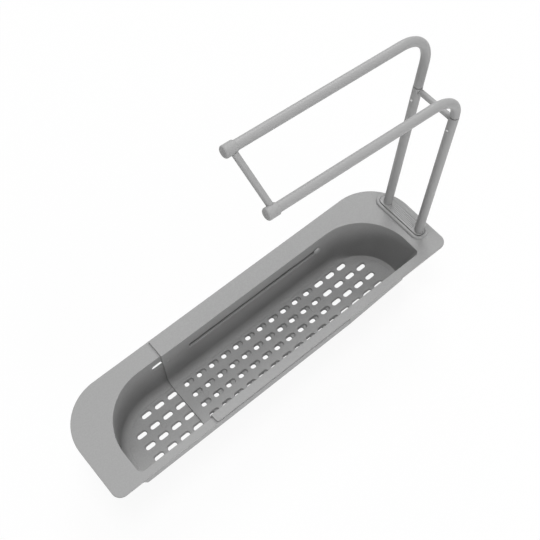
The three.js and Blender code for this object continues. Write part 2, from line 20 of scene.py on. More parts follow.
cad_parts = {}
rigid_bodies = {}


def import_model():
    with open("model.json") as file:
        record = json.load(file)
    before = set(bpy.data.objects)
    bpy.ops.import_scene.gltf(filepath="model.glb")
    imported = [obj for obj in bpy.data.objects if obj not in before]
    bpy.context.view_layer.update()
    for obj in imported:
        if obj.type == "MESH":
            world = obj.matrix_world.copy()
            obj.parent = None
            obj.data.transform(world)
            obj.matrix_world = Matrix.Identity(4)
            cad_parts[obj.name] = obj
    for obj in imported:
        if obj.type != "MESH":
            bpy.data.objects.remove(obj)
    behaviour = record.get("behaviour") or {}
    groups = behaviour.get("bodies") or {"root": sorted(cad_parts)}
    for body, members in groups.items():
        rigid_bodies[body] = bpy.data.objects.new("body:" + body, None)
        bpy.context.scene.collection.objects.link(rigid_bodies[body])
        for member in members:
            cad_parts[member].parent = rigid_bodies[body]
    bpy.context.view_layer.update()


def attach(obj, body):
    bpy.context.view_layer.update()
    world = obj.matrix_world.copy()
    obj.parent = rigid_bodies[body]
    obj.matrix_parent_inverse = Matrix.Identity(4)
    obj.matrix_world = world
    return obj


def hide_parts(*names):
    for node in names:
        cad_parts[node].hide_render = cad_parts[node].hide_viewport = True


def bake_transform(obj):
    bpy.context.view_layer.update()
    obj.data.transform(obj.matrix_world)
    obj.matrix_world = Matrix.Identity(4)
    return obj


LOG = logging.getLogger("sink_rack")
MM = 0.001
# How far a cutter runs past what it cuts, into open space or through a single wall
PAST = 5.0
WALL_PAST = 1.0
# How far a face is sunk where it would otherwise lie in another face's plane
SUNK = 0.02
# Lays a turned body's axis along -X
LEFTWARDS = Matrix.Rotation(math.radians(-90.0), 4, "Y")

Flat = tuple[float, float]
Spot = tuple[float, float, float]
Ring = list[Spot]
Place = Callable[[float, float, float], Spot]


class Body(Enum):
    """The CAD bodies that pieces ride on."""

    LEFT = "left_section"
    RIGHT = "right_section"
    FRAME = "towel_frame"
    LOW_BUTTON = "low_button"
    HIGH_BUTTON = "high_button"


class Slot(Enum):
    """The record's material slots."""

    TRAY = "tray"
    STUD = "stud"
    FITTING = "frame_fittings"
    TUBE = "tube"
    STEEL = "spring_steel"


class Blend(Enum):
    """How two closed forms are combined."""

    JOIN = "UNION"
    CUT = "DIFFERENCE"


# Outlines


def clamped(share: float) -> float:
    """A share, kept between 0 and 1."""
    return min(max(share, 0.0), 1.0)


def straight(start: Flat, stop: Flat, steps: int) -> list[Flat]:
    """Points on a straight line, with both ends."""
    shares = [i / steps for i in range(steps + 1)]
    return [(start[0] + (stop[0] - start[0]) * s, start[1] + (stop[1] - start[1]) * s) for s in shares]


def arc(centre: Flat, radius: float, start: float, stop: float, steps: int) -> list[Flat]:
    """Points on a circular arc.

    Args:
        centre: Middle of the circle.
        radius: Radius of the circle.
        start: First angle, in degrees.
        stop: Last angle, in degrees.
        steps: Number of straight steps.

    Returns:
        The points from the first angle to the last.
    """
    turns = [math.radians(start + (stop - start) * i / steps) for i in range(steps + 1)]
    return [(centre[0] + radius * math.cos(t), centre[1] + radius * math.sin(t)) for t in turns]


def circle(radius: float, sides: int) -> list[Flat]:
    """A closed circle about the origin."""
    return arc((0.0, 0.0), radius, 0.0, 360.0 * (sides - 1) / sides, sides - 1)


def stadium(middle: Flat, length: float, width: float, steps: int = 10) -> list[Flat]:
    """A slot outline with round ends, lying along its first axis.

    Args:
        middle: Middle of the slot.
        length: Length over the round ends.
        width: Width of the slot.
        steps: Straight steps in each round end.

    Returns:
        The closed outline.
    """
    reach = (length - width) / 2
    right = arc((middle[0] + reach, middle[1]), width / 2, -90.0, 90.0, steps)
    left = arc((middle[0] - reach, middle[1]), width / 2, 90.0, 270.0, steps)
    return right + left


def rounded_box(width: float, length: float, radius: float, steps: int) -> list[Flat]:
    """A rectangle about the origin with round corners.

    Args:
        width: Size along the first axis.
        length: Size along the second axis.
        radius: Corner radius.
        steps: Straight steps in each corner.

    Returns:
        The closed outline.
    """
    x, y = width / 2 - radius, length / 2 - radius
    corners = [((x, y), 0.0), ((-x, y), 90.0), ((-x, -y), 180.0), ((x, -y), 270.0)]
    return [p for centre, turn in corners for p in arc(centre, radius, turn, turn + 90.0, steps)]


def inset(outline: Sequence[Flat], depth: float) -> list[Flat]:
    """A closed outline moved inwards along its own normals.

    Args:
        outline: The closed outline.
        depth: Distance inwards, or outwards if it is negative.

    Returns:
        An outline with as many points.
    """
    pairs = list(zip(outline, [*outline[1:], outline[0]]))
    side = math.copysign(1.0, sum(a[0] * b[1] - b[0] * a[1] for a, b in pairs))
    normals = []
    for (ax, ay), (bx, by) in pairs:
        long = math.hypot(bx - ax, by - ay)
        normals.append(Vector((ay - by, bx - ax)) * (side / long))
    moved = []
    for i, point in enumerate(outline):
        before, after = normals[i - 1], normals[i]
        step = (before + after) * (depth / (1.0 + before.dot(after)))
        moved.append((point[0] + step.x, point[1] + step.y))
    return moved


def quarter(radius: float, steps: int = 4) -> list[Flat]:
    """The steps of a rounded edge, from its side face to its top face.

    Args:
        radius: Radius of the edge, or 0 for a sharp one.
        steps: Number of straight steps.

    Returns:
        How far each step is set in, and how far below the top face it lies.
    """
    if not radius:
        return [(0.0, 0.0)]
    return [(radius - x, radius - y) for x, y in arc((0.0, 0.0), radius, 0.0, 90.0, steps)]


def flare(radius: float, top: float) -> list[Flat]:
    """The steps of a cutter that widens below a top face and runs on past it.

    Args:
        radius: How far it widens, and how far below the face it starts to.
        top: Height of the face.

    Returns:
        How far each step is set in, and its height.
    """
    turn = [(d - radius, top - radius + h) for d, h in reversed(quarter(radius))]
    return [*turn, (-radius, top + PAST)]


def dome(radius: float, base: float, tip: float, point: float, steps: int) -> list[Flat]:
    """The profile of a rounded head, from its rim to its tip.

    Args:
        radius: Radius of the rim.
        base: Height of the rim.
        tip: Height of the tip.
        point: Radius of the flat spot at the tip.
        steps: Number of straight steps.

    Returns:
        Radius and height of each ring.
    """
    turns = [math.radians(90.0 * i / steps) for i in range(steps)]
    return [*((radius * math.cos(t), base + (tip - base) * math.sin(t)) for t in turns), (point, tip)]


def upright(x: float, y: float, height: float) -> Spot:
    """Places an outline flat on the ground, with its height along Z."""
    return (x, y, height)


def sideways(x: float, z: float, depth: float) -> Spot:
    """Places an outline in the XZ plane, with its height along Y."""
    return (x, depth, z)


class Form:
    """A closed mesh in millimetres, lofted from rings and combined with other forms."""

    def __init__(self) -> None:
        """Starts with nothing in it."""
        self.mesh = bmesh.new()

    def loft(self, rings: Sequence[Ring]) -> Form:
        """Adds a skin through closed rings of equal length, with a face over each end.

        Args:
            rings: The rings in order.

        Returns:
            This form.
        """
        rows = [[self.mesh.verts.new(p) for p in ring] for ring in rings]
        count = len(rows[0])
        for low, high in zip(rows, rows[1:]):
            for i in range(count):
                j = (i + 1) % count
                self.mesh.faces.new((low[i], low[j], high[j], high[i]))
        self.mesh.faces.new(list(reversed(rows[0])))
        self.mesh.faces.new(rows[-1])
        return self

    def stack(self, outline: Sequence[Flat], steps: Sequence[Flat], place: Place = upright) -> Form:
        """Adds a body through copies of one outline.

        Args:
            outline: The closed outline.
            steps: How far each copy is set in, and its height.
            place: Turns a point of the outline and a height into a place.

        Returns:
            This form.
        """
        return self.loft([[place(x, y, h) for x, y in inset(outline, d)] for d, h in steps])

    def slab(
        self,
        outline: Sequence[Flat],
        low: float,
        high: float,
        edges: Flat = (0.0, 0.0),
        place: Place = upright,
    ) -> Form:
        """Adds a plate with sharp or rounded edges.

        Args:
            outline: Closed outline of the plate.
            low: Height of its first face.
            high: Height of its second face.
            edges: Edge radius at the first and second face.
            place: Turns a point of the outline and a height into a place.

        Returns:
            This form.
        """
        steps = [(d, low + h) for d, h in reversed(quarter(edges[0]))]
        steps += [(d, high - h) for d, h in quarter(edges[1])]
        return self.stack(outline, steps, place)

    def lathe(self, profile: Sequence[Flat], sides: int, middle: Flat = (0.0, 0.0)) -> Form:
        """Adds a turned body about an upright axis.

        Args:
            profile: Radius and height of each ring, in order.
            sides: Sides of the rings.
            middle: Where the axis stands.

        Returns:
            This form.
        """
        x, y = middle
        return self.loft([[(x + a, y + b, h) for a, b in circle(r, sides)] for r, h in profile])

    def rod(self, start: Vector, stop: Vector, radius: float, sides: int = 32) -> Form:
        """Adds a plain round bar.

        Args:
            start: Middle of its first face.
            stop: Middle of its last face.
            radius: Its radius.
            sides: Its number of sides.

        Returns:
            This form.
        """
        along = stop - start
        turn = along.to_track_quat("Z", "Y").to_matrix()
        section = [start + turn @ Vector((x, y, 0.0)) for x, y in circle(radius, sides)]
        return self.loft([[tuple(p) for p in section], [tuple(p + along) for p in section]])

    def moved(self, matrix: Matrix) -> Form:
        """Turns and shifts everything in the form."""
        bmesh.ops.transform(self.mesh, matrix=matrix, verts=self.mesh.verts)
        return self

    def bent(self, rule: Callable[[Vector], Vector]) -> Form:
        """Moves every point.

        Args:
            rule: Says where a point goes.

        Returns:
            This form.
        """
        for vertex in self.mesh.verts:
            vertex.co = rule(vertex.co)
        return self

    def join(self, other: Form) -> Form:
        """Adds another form's space to this one's."""
        return self._combine(other, Blend.JOIN)

    def cut(self, other: Form) -> Form:
        """Takes another form's space out of this one's."""
        return self._combine(other, Blend.CUT)

    def _stand(self, name: str) -> bpy.types.Object:
        """Puts the form's mesh into the scene.

        Args:
            name: Name of the object and its mesh.

        Returns:
            The object.
        """
        data = bpy.data.meshes.new(name)
        self.mesh.to_mesh(data)
        made = bpy.data.objects.new(name, data)
        bpy.context.scene.collection.objects.link(made)
        return made

    def _combine(self, other: Form, blend: Blend) -> Form:
        """Replaces this form by its combination with another, which is used up.

        Args:
            other: The other closed form.
            blend: What is done with it.

        Returns:
            This form.
        """
        for form in (self, other):
            bmesh.ops.recalc_face_normals(form.mesh, faces=form.mesh.faces)
        host, tool = self._stand("host"), other._stand("tool")
        modifier = host.modifiers.new("blend", "BOOLEAN")
        modifier.operation = blend.value
        modifier.solver = "MANIFOLD"
        modifier.object = tool
        evaluated = host.evaluated_get(bpy.context.evaluated_depsgraph_get())
        self.mesh.clear()
        self.mesh.from_mesh(evaluated.to_mesh())
        evaluated.to_mesh_clear()
        other.mesh.free()
        for passing in (host, tool):
            data = passing.data
            bpy.data.objects.remove(passing)
            bpy.data.meshes.remove(data)
        return self

    def piece(self, name: str, crease: float = 32.0) -> bpy.types.Object:
        """Makes the finished object, in metres, with soft shading between its sharp edges.

        Args:
            name: Name of the object.
            crease: Angle in degrees above which an edge stays sharp.

        Returns:
            The object.
        """
        bmesh.ops.recalc_face_normals(self.mesh, faces=self.mesh.faces)
        bmesh.ops.scale(self.mesh, vec=(MM, MM, MM), verts=self.mesh.verts)
        for face in self.mesh.faces:
            face.smooth = True
        for edge in self.mesh.edges:
            edge.smooth = edge.calc_face_angle(0.0) < math.radians(crease)
        made = self._stand(name)
        self.mesh.free()
        shading = made.modifiers.new("shading", "WEIGHTED_NORMAL")
        shading.keep_sharp = True
        return made


# Finishes


class Value:
    """A number socket of a node tree, with arithmetic that adds Math nodes."""

    def __init__(self, graph: Graph, socket: bpy.types.NodeSocket) -> None:
        """Wraps a socket of a graph."""
        self.graph = graph
        self.socket = socket

    def _math(self, operation: str, first: Operand, second: Operand) -> Value:
        """The result of one Math node."""
        made = self.graph.node("ShaderNodeMath", {"operation": operation}, {0: first, 1: second})
        return Value(self.graph, made.outputs[0])

    def __add__(self, other: Operand) -> Value:
        """This plus another."""
        return self._math("ADD", self, other)

    __radd__ = __add__

    def __sub__(self, other: Operand) -> Value:
        """This minus another."""
        return self._math("SUBTRACT", self, other)

    def __rsub__(self, other: Operand) -> Value:
        """Another minus this."""
        return self._math("SUBTRACT", other, self)

    def __mul__(self, other: Operand) -> Value:
        """This times another."""
        return self._math("MULTIPLY", self, other)

    __rmul__ = __mul__

    def __or__(self, other: Operand) -> Value:
        """The larger of this and another."""
        return self._math("MAXIMUM", self, other)

    __ror__ = __or__


Operand = Union[Value, float]


class Graph:
    """A node tree that is written from Python."""

    def __init__(self, tree: bpy.types.NodeTree) -> None:
        """Starts an empty tree."""
        self.tree = tree
        tree.nodes.clear()

    def node(
        self, kind: str, settings: dict | None = None, sockets: dict | None = None
    ) -> bpy.types.Node:
        """Adds a node.

        Args:
            kind: The node's type.
            settings: Its own settings, set first. "stops" holds a ramp's positions and colours.
            sockets: Values or links of its inputs, by name or number.

        Returns:
            The node.
        """
        made = self.tree.nodes.new(kind)
        for name, setting in (settings or {}).items():
            if name == "stops":
                for stop, (at, shade) in zip(made.color_ramp.elements, setting):
                    stop.position, stop.color = at, (*shade, 1.0)
            else:
                setattr(made, name, setting)
        for name, given in (sockets or {}).items():
            source = given.socket if isinstance(given, Value) else given
            if isinstance(source, bpy.types.NodeSocket):
                self.tree.links.new(source, made.inputs[name])
            else:
                made.inputs[name].default_value = source
        return made

    def value(self, node: bpy.types.Node, output: Union[str, int] = 0) -> Value:
        """One output of a node, for arithmetic."""
        return Value(self, node.outputs[output])

    def noise(self, scale: float, stretch: Spot = (1.0, 1.0, 1.0), detail: float = 2.0) -> Value:
        """A noise in the piece's own frame.

        Args:
            scale: Waves to the metre.
            stretch: Share of that scale along each axis.
            detail: Octaves of finer noise.

        Returns:
            The noise, from about -0.5 to 0.5.
        """
        place = self.node("ShaderNodeTexCoord").outputs["Object"]
        spread = self.node("ShaderNodeVectorMath", {"operation": "MULTIPLY"}, {0: place, 1: stretch})
        sockets = {"Vector": spread.outputs[0], "Scale": scale, "Detail": detail}
        return self.value(self.node("ShaderNodeTexNoise", {}, sockets)) - 0.5

    def grey(self, dark: float, light: float, share: Value) -> bpy.types.NodeSocket:
        """A grey between two others.

        Args:
            dark: The darker tone.
            light: The lighter tone.
            share: How far it is from the darker to the lighter one.

        Returns:
            The colour.
        """
        settings = {"data_type": "RGBA", "clamp_factor": True}
        sockets = {0: share, 6: (dark, dark, dark, 1.0), 7: (light, light, light, 1.0)}
        return self.node("ShaderNodeMix", settings, sockets).outputs[2]

    def bump(self, height: Value, strength: float, depth: float) -> bpy.types.NodeSocket:
        """A normal bumped by a height, with its strength and its depth in metres."""
        sockets = {"Strength": strength, "Distance": depth, "Height": height}
        return self.node("ShaderNodeBump", {}, sockets).outputs[0]

    def surface(self, sockets: dict) -> None:
        """Ends the tree in one Principled shader."""
        shader = self.node("ShaderNodeBsdfPrincipled", {}, sockets)
        self.node("ShaderNodeOutputMaterial", {}, {"Surface": shader.outputs[0]})


def new_material(name: str) -> tuple[bpy.types.Material, Graph]:
    """Starts a material.

    Args:
        name: Its name.

    Returns:
        The empty material and the graph of its nodes.
    """
    made = bpy.data.materials.new(name)
    made.use_nodes = True
    return made, Graph(made.node_tree)


@dataclass(frozen=True)
class MouldedPlastic:
    """Matte injection-moulded plastic with a fine spark-eroded grain and faint flow marks."""

    name: str
    tone: float
    roughness: float = 0.56
    specular: float = 0.3
    mottle: float = 0.03
    cloud_scale: float = 22.0
    cloud_share: float = 0.9
    flow_scale: float = 60.0
    flow_stretch: Spot = (0.12, 1.0, 1.0)
    flow_detail: float = 3.0
    flow_share: float = 0.5
    flow_gloss: float = 0.12
    grain: float = 0.13
    grain_scale: float = 800.0
    grain_detail: float = 1.0
    grain_gloss: float = 0.1
    grain_strength: float = 0.5
    grain_depth: float = 0.00004

    def material(self) -> bpy.types.Material:
        """Builds the material.

        Returns:
            The material.
        """
        made, graph = new_material(self.name)
        cloud = graph.noise(self.cloud_scale)
        flow = graph.noise(self.flow_scale, self.flow_stretch, self.flow_detail)
        grain = graph.noise(self.grain_scale, detail=self.grain_detail)
        share = 0.5 + cloud * self.cloud_share + flow * self.flow_share
        share += grain * (self.grain / self.mottle)
        dark, light = self.tone * (1.0 - self.mottle), self.tone * (1.0 + self.mottle)
        graph.surface(
            {
                "Base Color": graph.grey(dark, light, share),
                "Roughness": self.roughness + flow * self.flow_gloss + grain * self.grain_gloss,
                "Normal": graph.bump(grain, self.grain_strength, self.grain_depth),
                "Specular IOR Level": self.specular,
            }
        )
        return made


@dataclass(frozen=True)
class CoatedTube:
    """Baked coating on metal tube, with a faint orange peel and drift along the tube."""

    name: str
    tone: float
    roughness: float = 0.46
    specular: float = 0.4
    drift: float = 0.025
    drift_scale: float = 30.0
    drift_share: float = 1.2
    speck_scale: float = 2600.0
    speck_share: float = 0.8
    peel_scale: float = 700.0
    peel_gloss: float = 0.1
    peel_strength: float = 0.35
    peel_depth: float = 0.00003

    def material(self) -> bpy.types.Material:
        """Builds the material.

        Returns:
            The material.
        """
        made, graph = new_material(self.name)
        drift = graph.noise(self.drift_scale)
        peel = graph.noise(self.peel_scale)
        speck = graph.noise(self.speck_scale, detail=0.0)
        share = 0.5 + drift * self.drift_share + speck * self.speck_share
        dark, light = self.tone * (1.0 - self.drift), self.tone * (1.0 + self.drift)
        graph.surface(
            {
                "Base Color": graph.grey(dark, light, share),
                "Roughness": self.roughness + peel * self.peel_gloss,
                "Normal": graph.bump(peel, self.peel_strength, self.peel_depth),
                "Specular IOR Level": self.specular,
            }
        )
        return made


@dataclass(frozen=True)
class RolledSteel:
    """Bright spring steel with rolling marks along it."""

    name: str
    tone: float = 0.72
    roughness: float = 0.36
    marks_scale: float = 1800.0
    marks_stretch: Spot = (1.0, 1.0, 0.06)
    marks_tones: Flat = (0.86, 1.08)
    marks_gloss: float = 0.2
    marks_strength: float = 0.25
    marks_depth: float = 0.00001

    def material(self) -> bpy.types.Material:
        """Builds the material.

        Returns:
            The material.
        """
        made, graph = new_material(self.name)
        marks = graph.noise(self.marks_scale, self.marks_stretch)
        dark, light = (self.tone * share for share in self.marks_tones)
        graph.surface(
            {
                "Base Color": graph.grey(dark, light, 0.5 + marks),
                "Roughness": self.roughness + marks * self.marks_gloss,
                "Normal": graph.bump(marks, self.marks_strength, self.marks_depth),
                "Metallic": 1.0,
            }
        )
        return made


Finish = Union[MouldedPlastic, CoatedTube, RolledSteel]
Look = tuple[Finish, Slot]
Flex = tuple[Body, Vector, Vector]

TRAY_PLASTIC = MouldedPlastic("tray_plastic", 0.338)
STUD_PLASTIC = MouldedPlastic("stud_plastic", 0.385, roughness=0.5, grain_depth=0.00002)
FITTING_PLASTIC = MouldedPlastic("fitting_plastic", 0.352, roughness=0.5, grain_depth=0.00002)
TUBE_COATING = CoatedTube("tube_coating", 0.345)
BUTTON_STEEL = RolledSteel("button_steel")


class Wardrobe:
    """Keeps one material of each finish and dresses pieces with them."""

    def __init__(self) -> None:
        """Starts with no materials made."""
        self.made: dict[str, bpy.types.Material] = {}

    def material(self, finish: Finish) -> bpy.types.Material:
        """Finds the material of a finish, or makes it when it is first asked for.

        Args:
            finish: The finish.

        Returns:
            Its material.
        """
        if finish.name not in self.made:
            self.made[finish.name] = finish.material()
        return self.made[finish.name]

    def dress(
        self,
        piece: bpy.types.Object,
        finish: Finish,
        body: Body,
        node: str,
        flex: Flex | None = None,
    ) -> None:
        """Gives a piece its finish and its body, and hides the CAD node that it stands for.

        Args:
            piece: The finished object.
            finish: Its finish.
            body: The body that it rides on.
            node: The CAD node that it replaces.
            flex: Another body and two points; only whether it is given is read, and then the piece is baked
                in place and put on no body.
        """
        piece.data.materials.append(self.material(finish))
        if flex:
            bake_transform(piece)
        else:
            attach(piece, body.value)
        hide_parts(node)
        LOG.info("%s: %d faces on %s", piece.name, len(piece.data.polygons), body.value)


# Trays


@dataclass(frozen=True)
class Nest:
    """Sizes that both trays share, and the rule by which their front walls lean.

    crisp_foot says how far each level of a creased foot is set in, from the floor up. The crease runs
    from the closed end as far as crisp_reach and fades over the last crisp_fade of that. ledge_turn says
    how far the ledge's middle step is set in from the fillet, and how high it lies. slot_lead is how far
    the left tray's slots run on past the studs that stand in them when the rack is closed.
    """

    tray_length: float = 248.8
    width: float = 92.0
    wall: float = 1.5
    rim: float = 1.6
    floor: float = 1.6
    fillet: float = 7.0
    fillet_steps: int = 10
    ledge: float = 0.3
    ledge_foot: float = 0.5
    ledge_turn: Flat = (0.12, 0.2)
    crisp_foot: tuple[float, ...] = (
        *(7.8, 7.0, 6.6, 5.4, 3.7, 3.4, 3.3),
        *(3.25, 3.2, 3.15, 3.1, 3.0, 2.9, 1.6),
    )
    crisp_reach: float = 66.0
    crisp_fade: float = 18.0
    slope: float = 10.8
    left_front: float = -39.0
    left_rear: float = 29.2
    left_rim_top: float = 55.1
    gap: float = 0.4
    rim_front_radius: float = 8.0
    rim_rear_radius: float = 41.0
    basin_rear_radius: float = 47.5
    front_steps: int = 14
    rear_steps: int = 40
    rim_edge: float = 0.45
    basin_edge: float = 0.6
    lip_low: float = 47.1
    lip_thickness: float = 1.5
    lip_end: float = 232.4
    guide_height: float = 41.5
    slot_lead: float = 11.2
    slot_spare: float = 0.35
    slot_flare: float = 0.7
    stud_shank: float = 4.0
    stud_fit: float = 0.2
    hole_sides: int = 24
    travel: float = 136.0
    left_stud: float = 88.55
    right_stud: float = -72.3

    def lean(self, point: Vector) -> Vector:
        """Leans the front walls inwards.

        Args:
            point: A point of a basin with upright walls.

        Returns:
            Where that point goes.
        """
        share = (self.left_rear - point.y) / (self.left_rear - self.left_front)
        shift = math.tan(math.radians(self.slope)) * (self.left_rim_top - point.z) * share
        return Vector((point.x, point.y + shift, point.z))


@dataclass(frozen=True)
class PinMark:
    """The shallow round mark that an ejector pin of the mould leaves, with a raised edge."""

    foot: float = 2.7
    crest: Flat = (2.45, 2.05)
    dish: Flat = (1.9, 0.2)
    height: float = 0.2
    depth: float = 0.1
    root: float = 0.6
    sides: int = 28

    def profile(self, floor: float) -> list[Flat]:
        """The mark's profile, rooted in the floor.

        Args:
            floor: Height of the floor's upper face.

        Returns:
            Radius and height of each ring.
        """
        low, high = floor - self.root, floor + self.height
        edge = [(self.foot, low), (self.foot, floor), *((radius, high) for radius in self.crest)]
        return edge + [(radius, high - self.depth) for radius in self.dish]


NEST = Nest()
PIN_MARK = PinMark()


@dataclass
class Drains:
    """The rows of slots in a tray's floor.

    The insets run to the middles of the outer slots. draft is how much narrower a slot is on each side
    at the floor's lower face, and skew how far it is shifted to the front there.
    """

    end_inset: float
    open_inset: float
    rear_inset: float
    front_inset: float
    skew: float = 0.0
    length: float = 10.0
    width: float = 5.0
    columns: int = 15
    rows: int = 4
    edge: float = 0.15
    draft: float = 0.6

    def form(self, tray: Tray) -> Form:
        """The slots as one cutter, flared at the floor's upper face and narrower at its lower one.

        Args:
            tray: The tray that they are in. Its rear row starts one column later than the others.

        Returns:
            The cutting form.
        """
        top, low = tray.floor_top, tray.floor_top - NEST.floor
        steps = [(self.draft, low - PAST), (self.draft, low), *flare(self.edge, top)]

        def skewed(x: float, y: float, height: float) -> Spot:
            """Places a slot's outline, shifted to the front at the lower face."""
            return (x, y - (self.skew if height <= low else 0.0), height)

        made = Form()
        pitch = (NEST.tray_length - self.end_inset - self.open_inset) / (self.columns - 1)
        across = NEST.left_rear - NEST.left_front - self.rear_inset - self.front_inset
        for row in range(self.rows):
            y = NEST.left_rear - self.rear_inset - row * across / (self.rows - 1)
            for column in range(1 if row == 0 else 0, self.columns):
                x = tray.across(self.end_inset + column * pitch)
                made.stack(stadium((x, y), self.length, self.width), steps, skewed)
        return made


@dataclass
class Tray:
    """One of the two nested trays, described from its closed end.

    direction is the sign of X from the closed end to the open one, and end how far in the basin starts.
    crease, from 0 to 1, says how sharp the foot of the end wall is. This tray's slots let a stud's axis run
    from slot_from to slot_to, and its own studs stand at stud.
    """

    name: str
    body: Body
    closed_end: float
    direction: float
    end: float
    front: float
    rear: float
    floor_top: float
    rim_top: float
    corner_radius: float
    crease: float
    slot_from: float
    slot_to: float
    slot_middle: float
    slot_height: float
    stud: float
    drains: Drains
    marks: Sequence[Flat]

    def across(self, depth: float) -> float:
        """The X of a point that lies so far in from the closed end."""
        return self.closed_end + self.direction * depth

    def closed_outline(self, end: float, front: float, rear: float, radii: Flat) -> list[Flat]:
        """The outline round the closed end, from the front corner to the rear one.

        Args:
            end: How far in the end lies.
            front: Y of the front side.
            rear: Y of the rear side.
            radii: Front and rear corner radius.

        Returns:
            The open outline.
        """
        near, far = radii
        points = arc((end + near, front + near), near, 270.0, 180.0, NEST.front_steps)
        points += arc((end + far, rear - far), far, 180.0, 90.0, NEST.rear_steps)
        return [(self.across(u), y) for u, y in points]

    def basin(self, setting: float, height: float, open_end: float) -> Ring:
        """One level of the basin's wall.

        Args:
            setting: How far it is set in from the wall's inner face.
            height: Its height.
            open_end: How far from the closed end it stops.

        Returns:
            The closed ring.
        """
        depth = clamped((self.rim_top - height) / (self.rim_top - self.floor_top))
        near = self.corner_radius + (NEST.fillet + NEST.wall - self.corner_radius) * depth
        radii = (near - setting, NEST.basin_rear_radius - setting)
        front, rear = self.front + setting, self.rear - setting
        round_end = self.closed_outline(self.end + setting, front, rear, radii)
        last = self.across(open_end)
        return [(x, y, height) for x, y in [(last, front), *round_end, (last, rear)]]

    def fillet(self) -> list[Flat]:
        """The fillet at the foot of the walls, over a low ledge round the floor.

        Returns:
            How far each level is set in, and its height.
        """
        floor, (turn, rise) = self.floor_top, NEST.ledge_turn
        ledge = [(NEST.fillet + NEST.ledge_foot, floor), (NEST.fillet + turn, floor + rise)]
        curve = reversed(quarter(NEST.fillet, NEST.fillet_steps))
        return ledge + [(d, floor + NEST.ledge + h) for d, h in curve]

    def footing(self, soft: Flat, crisp: float, open_end: float) -> Ring:
        """One level of the walls' feet, more or less creased round the closed end.

        Args:
            soft: How far the fillet is set in at this level, and the level's height.
            crisp: How far the creased foot is set in there.
            open_end: How far from the closed end it stops.

        Returns:
            The closed ring.
        """
        made = []
        filleted, creased = self.basin(*soft, open_end), self.basin(crisp, soft[1], open_end)
        for start, goal in zip(filleted, creased):
            share = clamped((NEST.crisp_reach - abs(start[0] - self.closed_end)) / NEST.crisp_fade)
            made.append(tuple(Vector(start).lerp(Vector(goal), share * self.crease)))
        return made

    def hollow(self) -> Form:
        """The space inside the basin, rounded off where it meets the rim.

        Returns:
            The cutting form.
        """
        past, edge = NEST.tray_length + PAST, NEST.basin_edge
        levels = [*self.fillet(), (0.0, (self.floor_top + self.rim_top) / 2)]
        foot = [self.footing(*step, past) for step in zip(levels, NEST.crisp_foot)]
        steps = [(-d, self.rim_top - h) for d, h in quarter(edge)] + [(-edge, self.rim_top + PAST)]
        return Form().loft([*foot, *(self.basin(d, h, past) for d, h in steps)]).bent(NEST.lean)

    def casing(self) -> Form:
        """The basin's outside, solid.

        Returns:
            The form, up into the rim.
        """
        low, wall = self.floor_top - NEST.floor, NEST.wall
        curve = reversed(quarter(NEST.fillet + wall, NEST.fillet_steps))
        steps = [(d - wall, low + h) for d, h in curve]
        steps += [(-wall, (low + self.rim_top) / 2), (-wall, self.rim_top - NEST.rim / 2)]
        return Form().loft([self.basin(d, h, NEST.tray_length) for d, h in steps]).bent(NEST.lean)

    def rim_outline(self) -> list[Flat]:
        """The rim's closed outline."""
        raise NotImplementedError

    def lip_edge(self) -> list[Flat]:
        """The lip's lower edge, as depths from the closed end and heights."""
        raise NotImplementedError

    def extras(self, shell: Form) -> None:
        """Adds what only this tray has to its shell."""
        raise NotImplementedError

    def lip(self) -> Form:
        """The lip turned down from the rim's front edge.

        Returns:
            The form, up into the rim.
        """
        edge, top = self.lip_edge(), self.rim_top - NEST.rim_edge - SUNK
        points = [(edge[0][0], top), *edge, (edge[-1][0], top)]
        outline = [(self.across(u), z) for u, z in points]
        front = -NEST.width / 2
        return Form().slab(outline, front, front + NEST.lip_thickness, place=sideways)

    def guide_slots(self) -> Form:
        """The slots in both walls that the other tray's studs run in.

        Returns:
            The cutting form.
        """
        length = self.slot_to - self.slot_from + self.slot_height + NEST.slot_spare
        middle = ((self.slot_from + self.slot_to) / 2, self.slot_middle)
        return self._through_walls(stadium(middle, length, self.slot_height), NEST.slot_flare)

    def stud_holes(self) -> Form:
        """The holes in both walls that carry this tray's own studs."""
        around = circle(NEST.stud_shank / 2 + NEST.stud_fit, NEST.hole_sides)
        return self._through_walls([(self.stud + x, NEST.guide_height + z) for x, z in around], 0.0)

    def _through_walls(self, outline: list[Flat], widening: float) -> Form:
        """A cutter through the front and rear walls, wider at the basin's inner faces.

        Args:
            outline: Its outline in the XZ plane.
            widening: How far its lower edge sinks at the inner faces.

        Returns:
            The cutting form.
        """
        steps = [(-widening, -WALL_PAST)]
        steps += [(d - widening, widening - h) for d, h in quarter(widening)]
        steps += [(0.0, NEST.wall + WALL_PAST)]
        made = Form()
        for face, outward in ((self.front, -1.0), (self.rear, 1.0)):
            rings = []
            for setting, depth in steps:
                y = face + outward * depth
                rings.append([sideways(x, z + setting, y) for x, z in inset(outline, setting)])
            made.loft(rings)
        return made.bent(NEST.lean)

    def pin_marks(self) -> Form:
        """The marks of the mould's ejector pins on the floor.

        Returns:
            The form, rooted in the floor.
        """
        made = Form()
        for spot in self.marks:
            made.lathe(PIN_MARK.profile(self.floor_top), PIN_MARK.sides, spot)
        return made

    def build(self) -> bpy.types.Object:
        """Makes the tray.

        Returns:
            The finished object.
        """
        low = self.rim_top - NEST.rim
        shell = Form().slab(self.rim_outline(), low, self.rim_top, (NEST.rim_edge, NEST.rim_edge))
        shell.join(self.lip()).join(self.casing()).cut(self.hollow())
        self.extras(shell)
        shell.join(self.pin_marks())
        shell.cut(self.drains.form(self)).cut(self.guide_slots()).cut(self.stud_holes())
        return shell.piece(self.name)


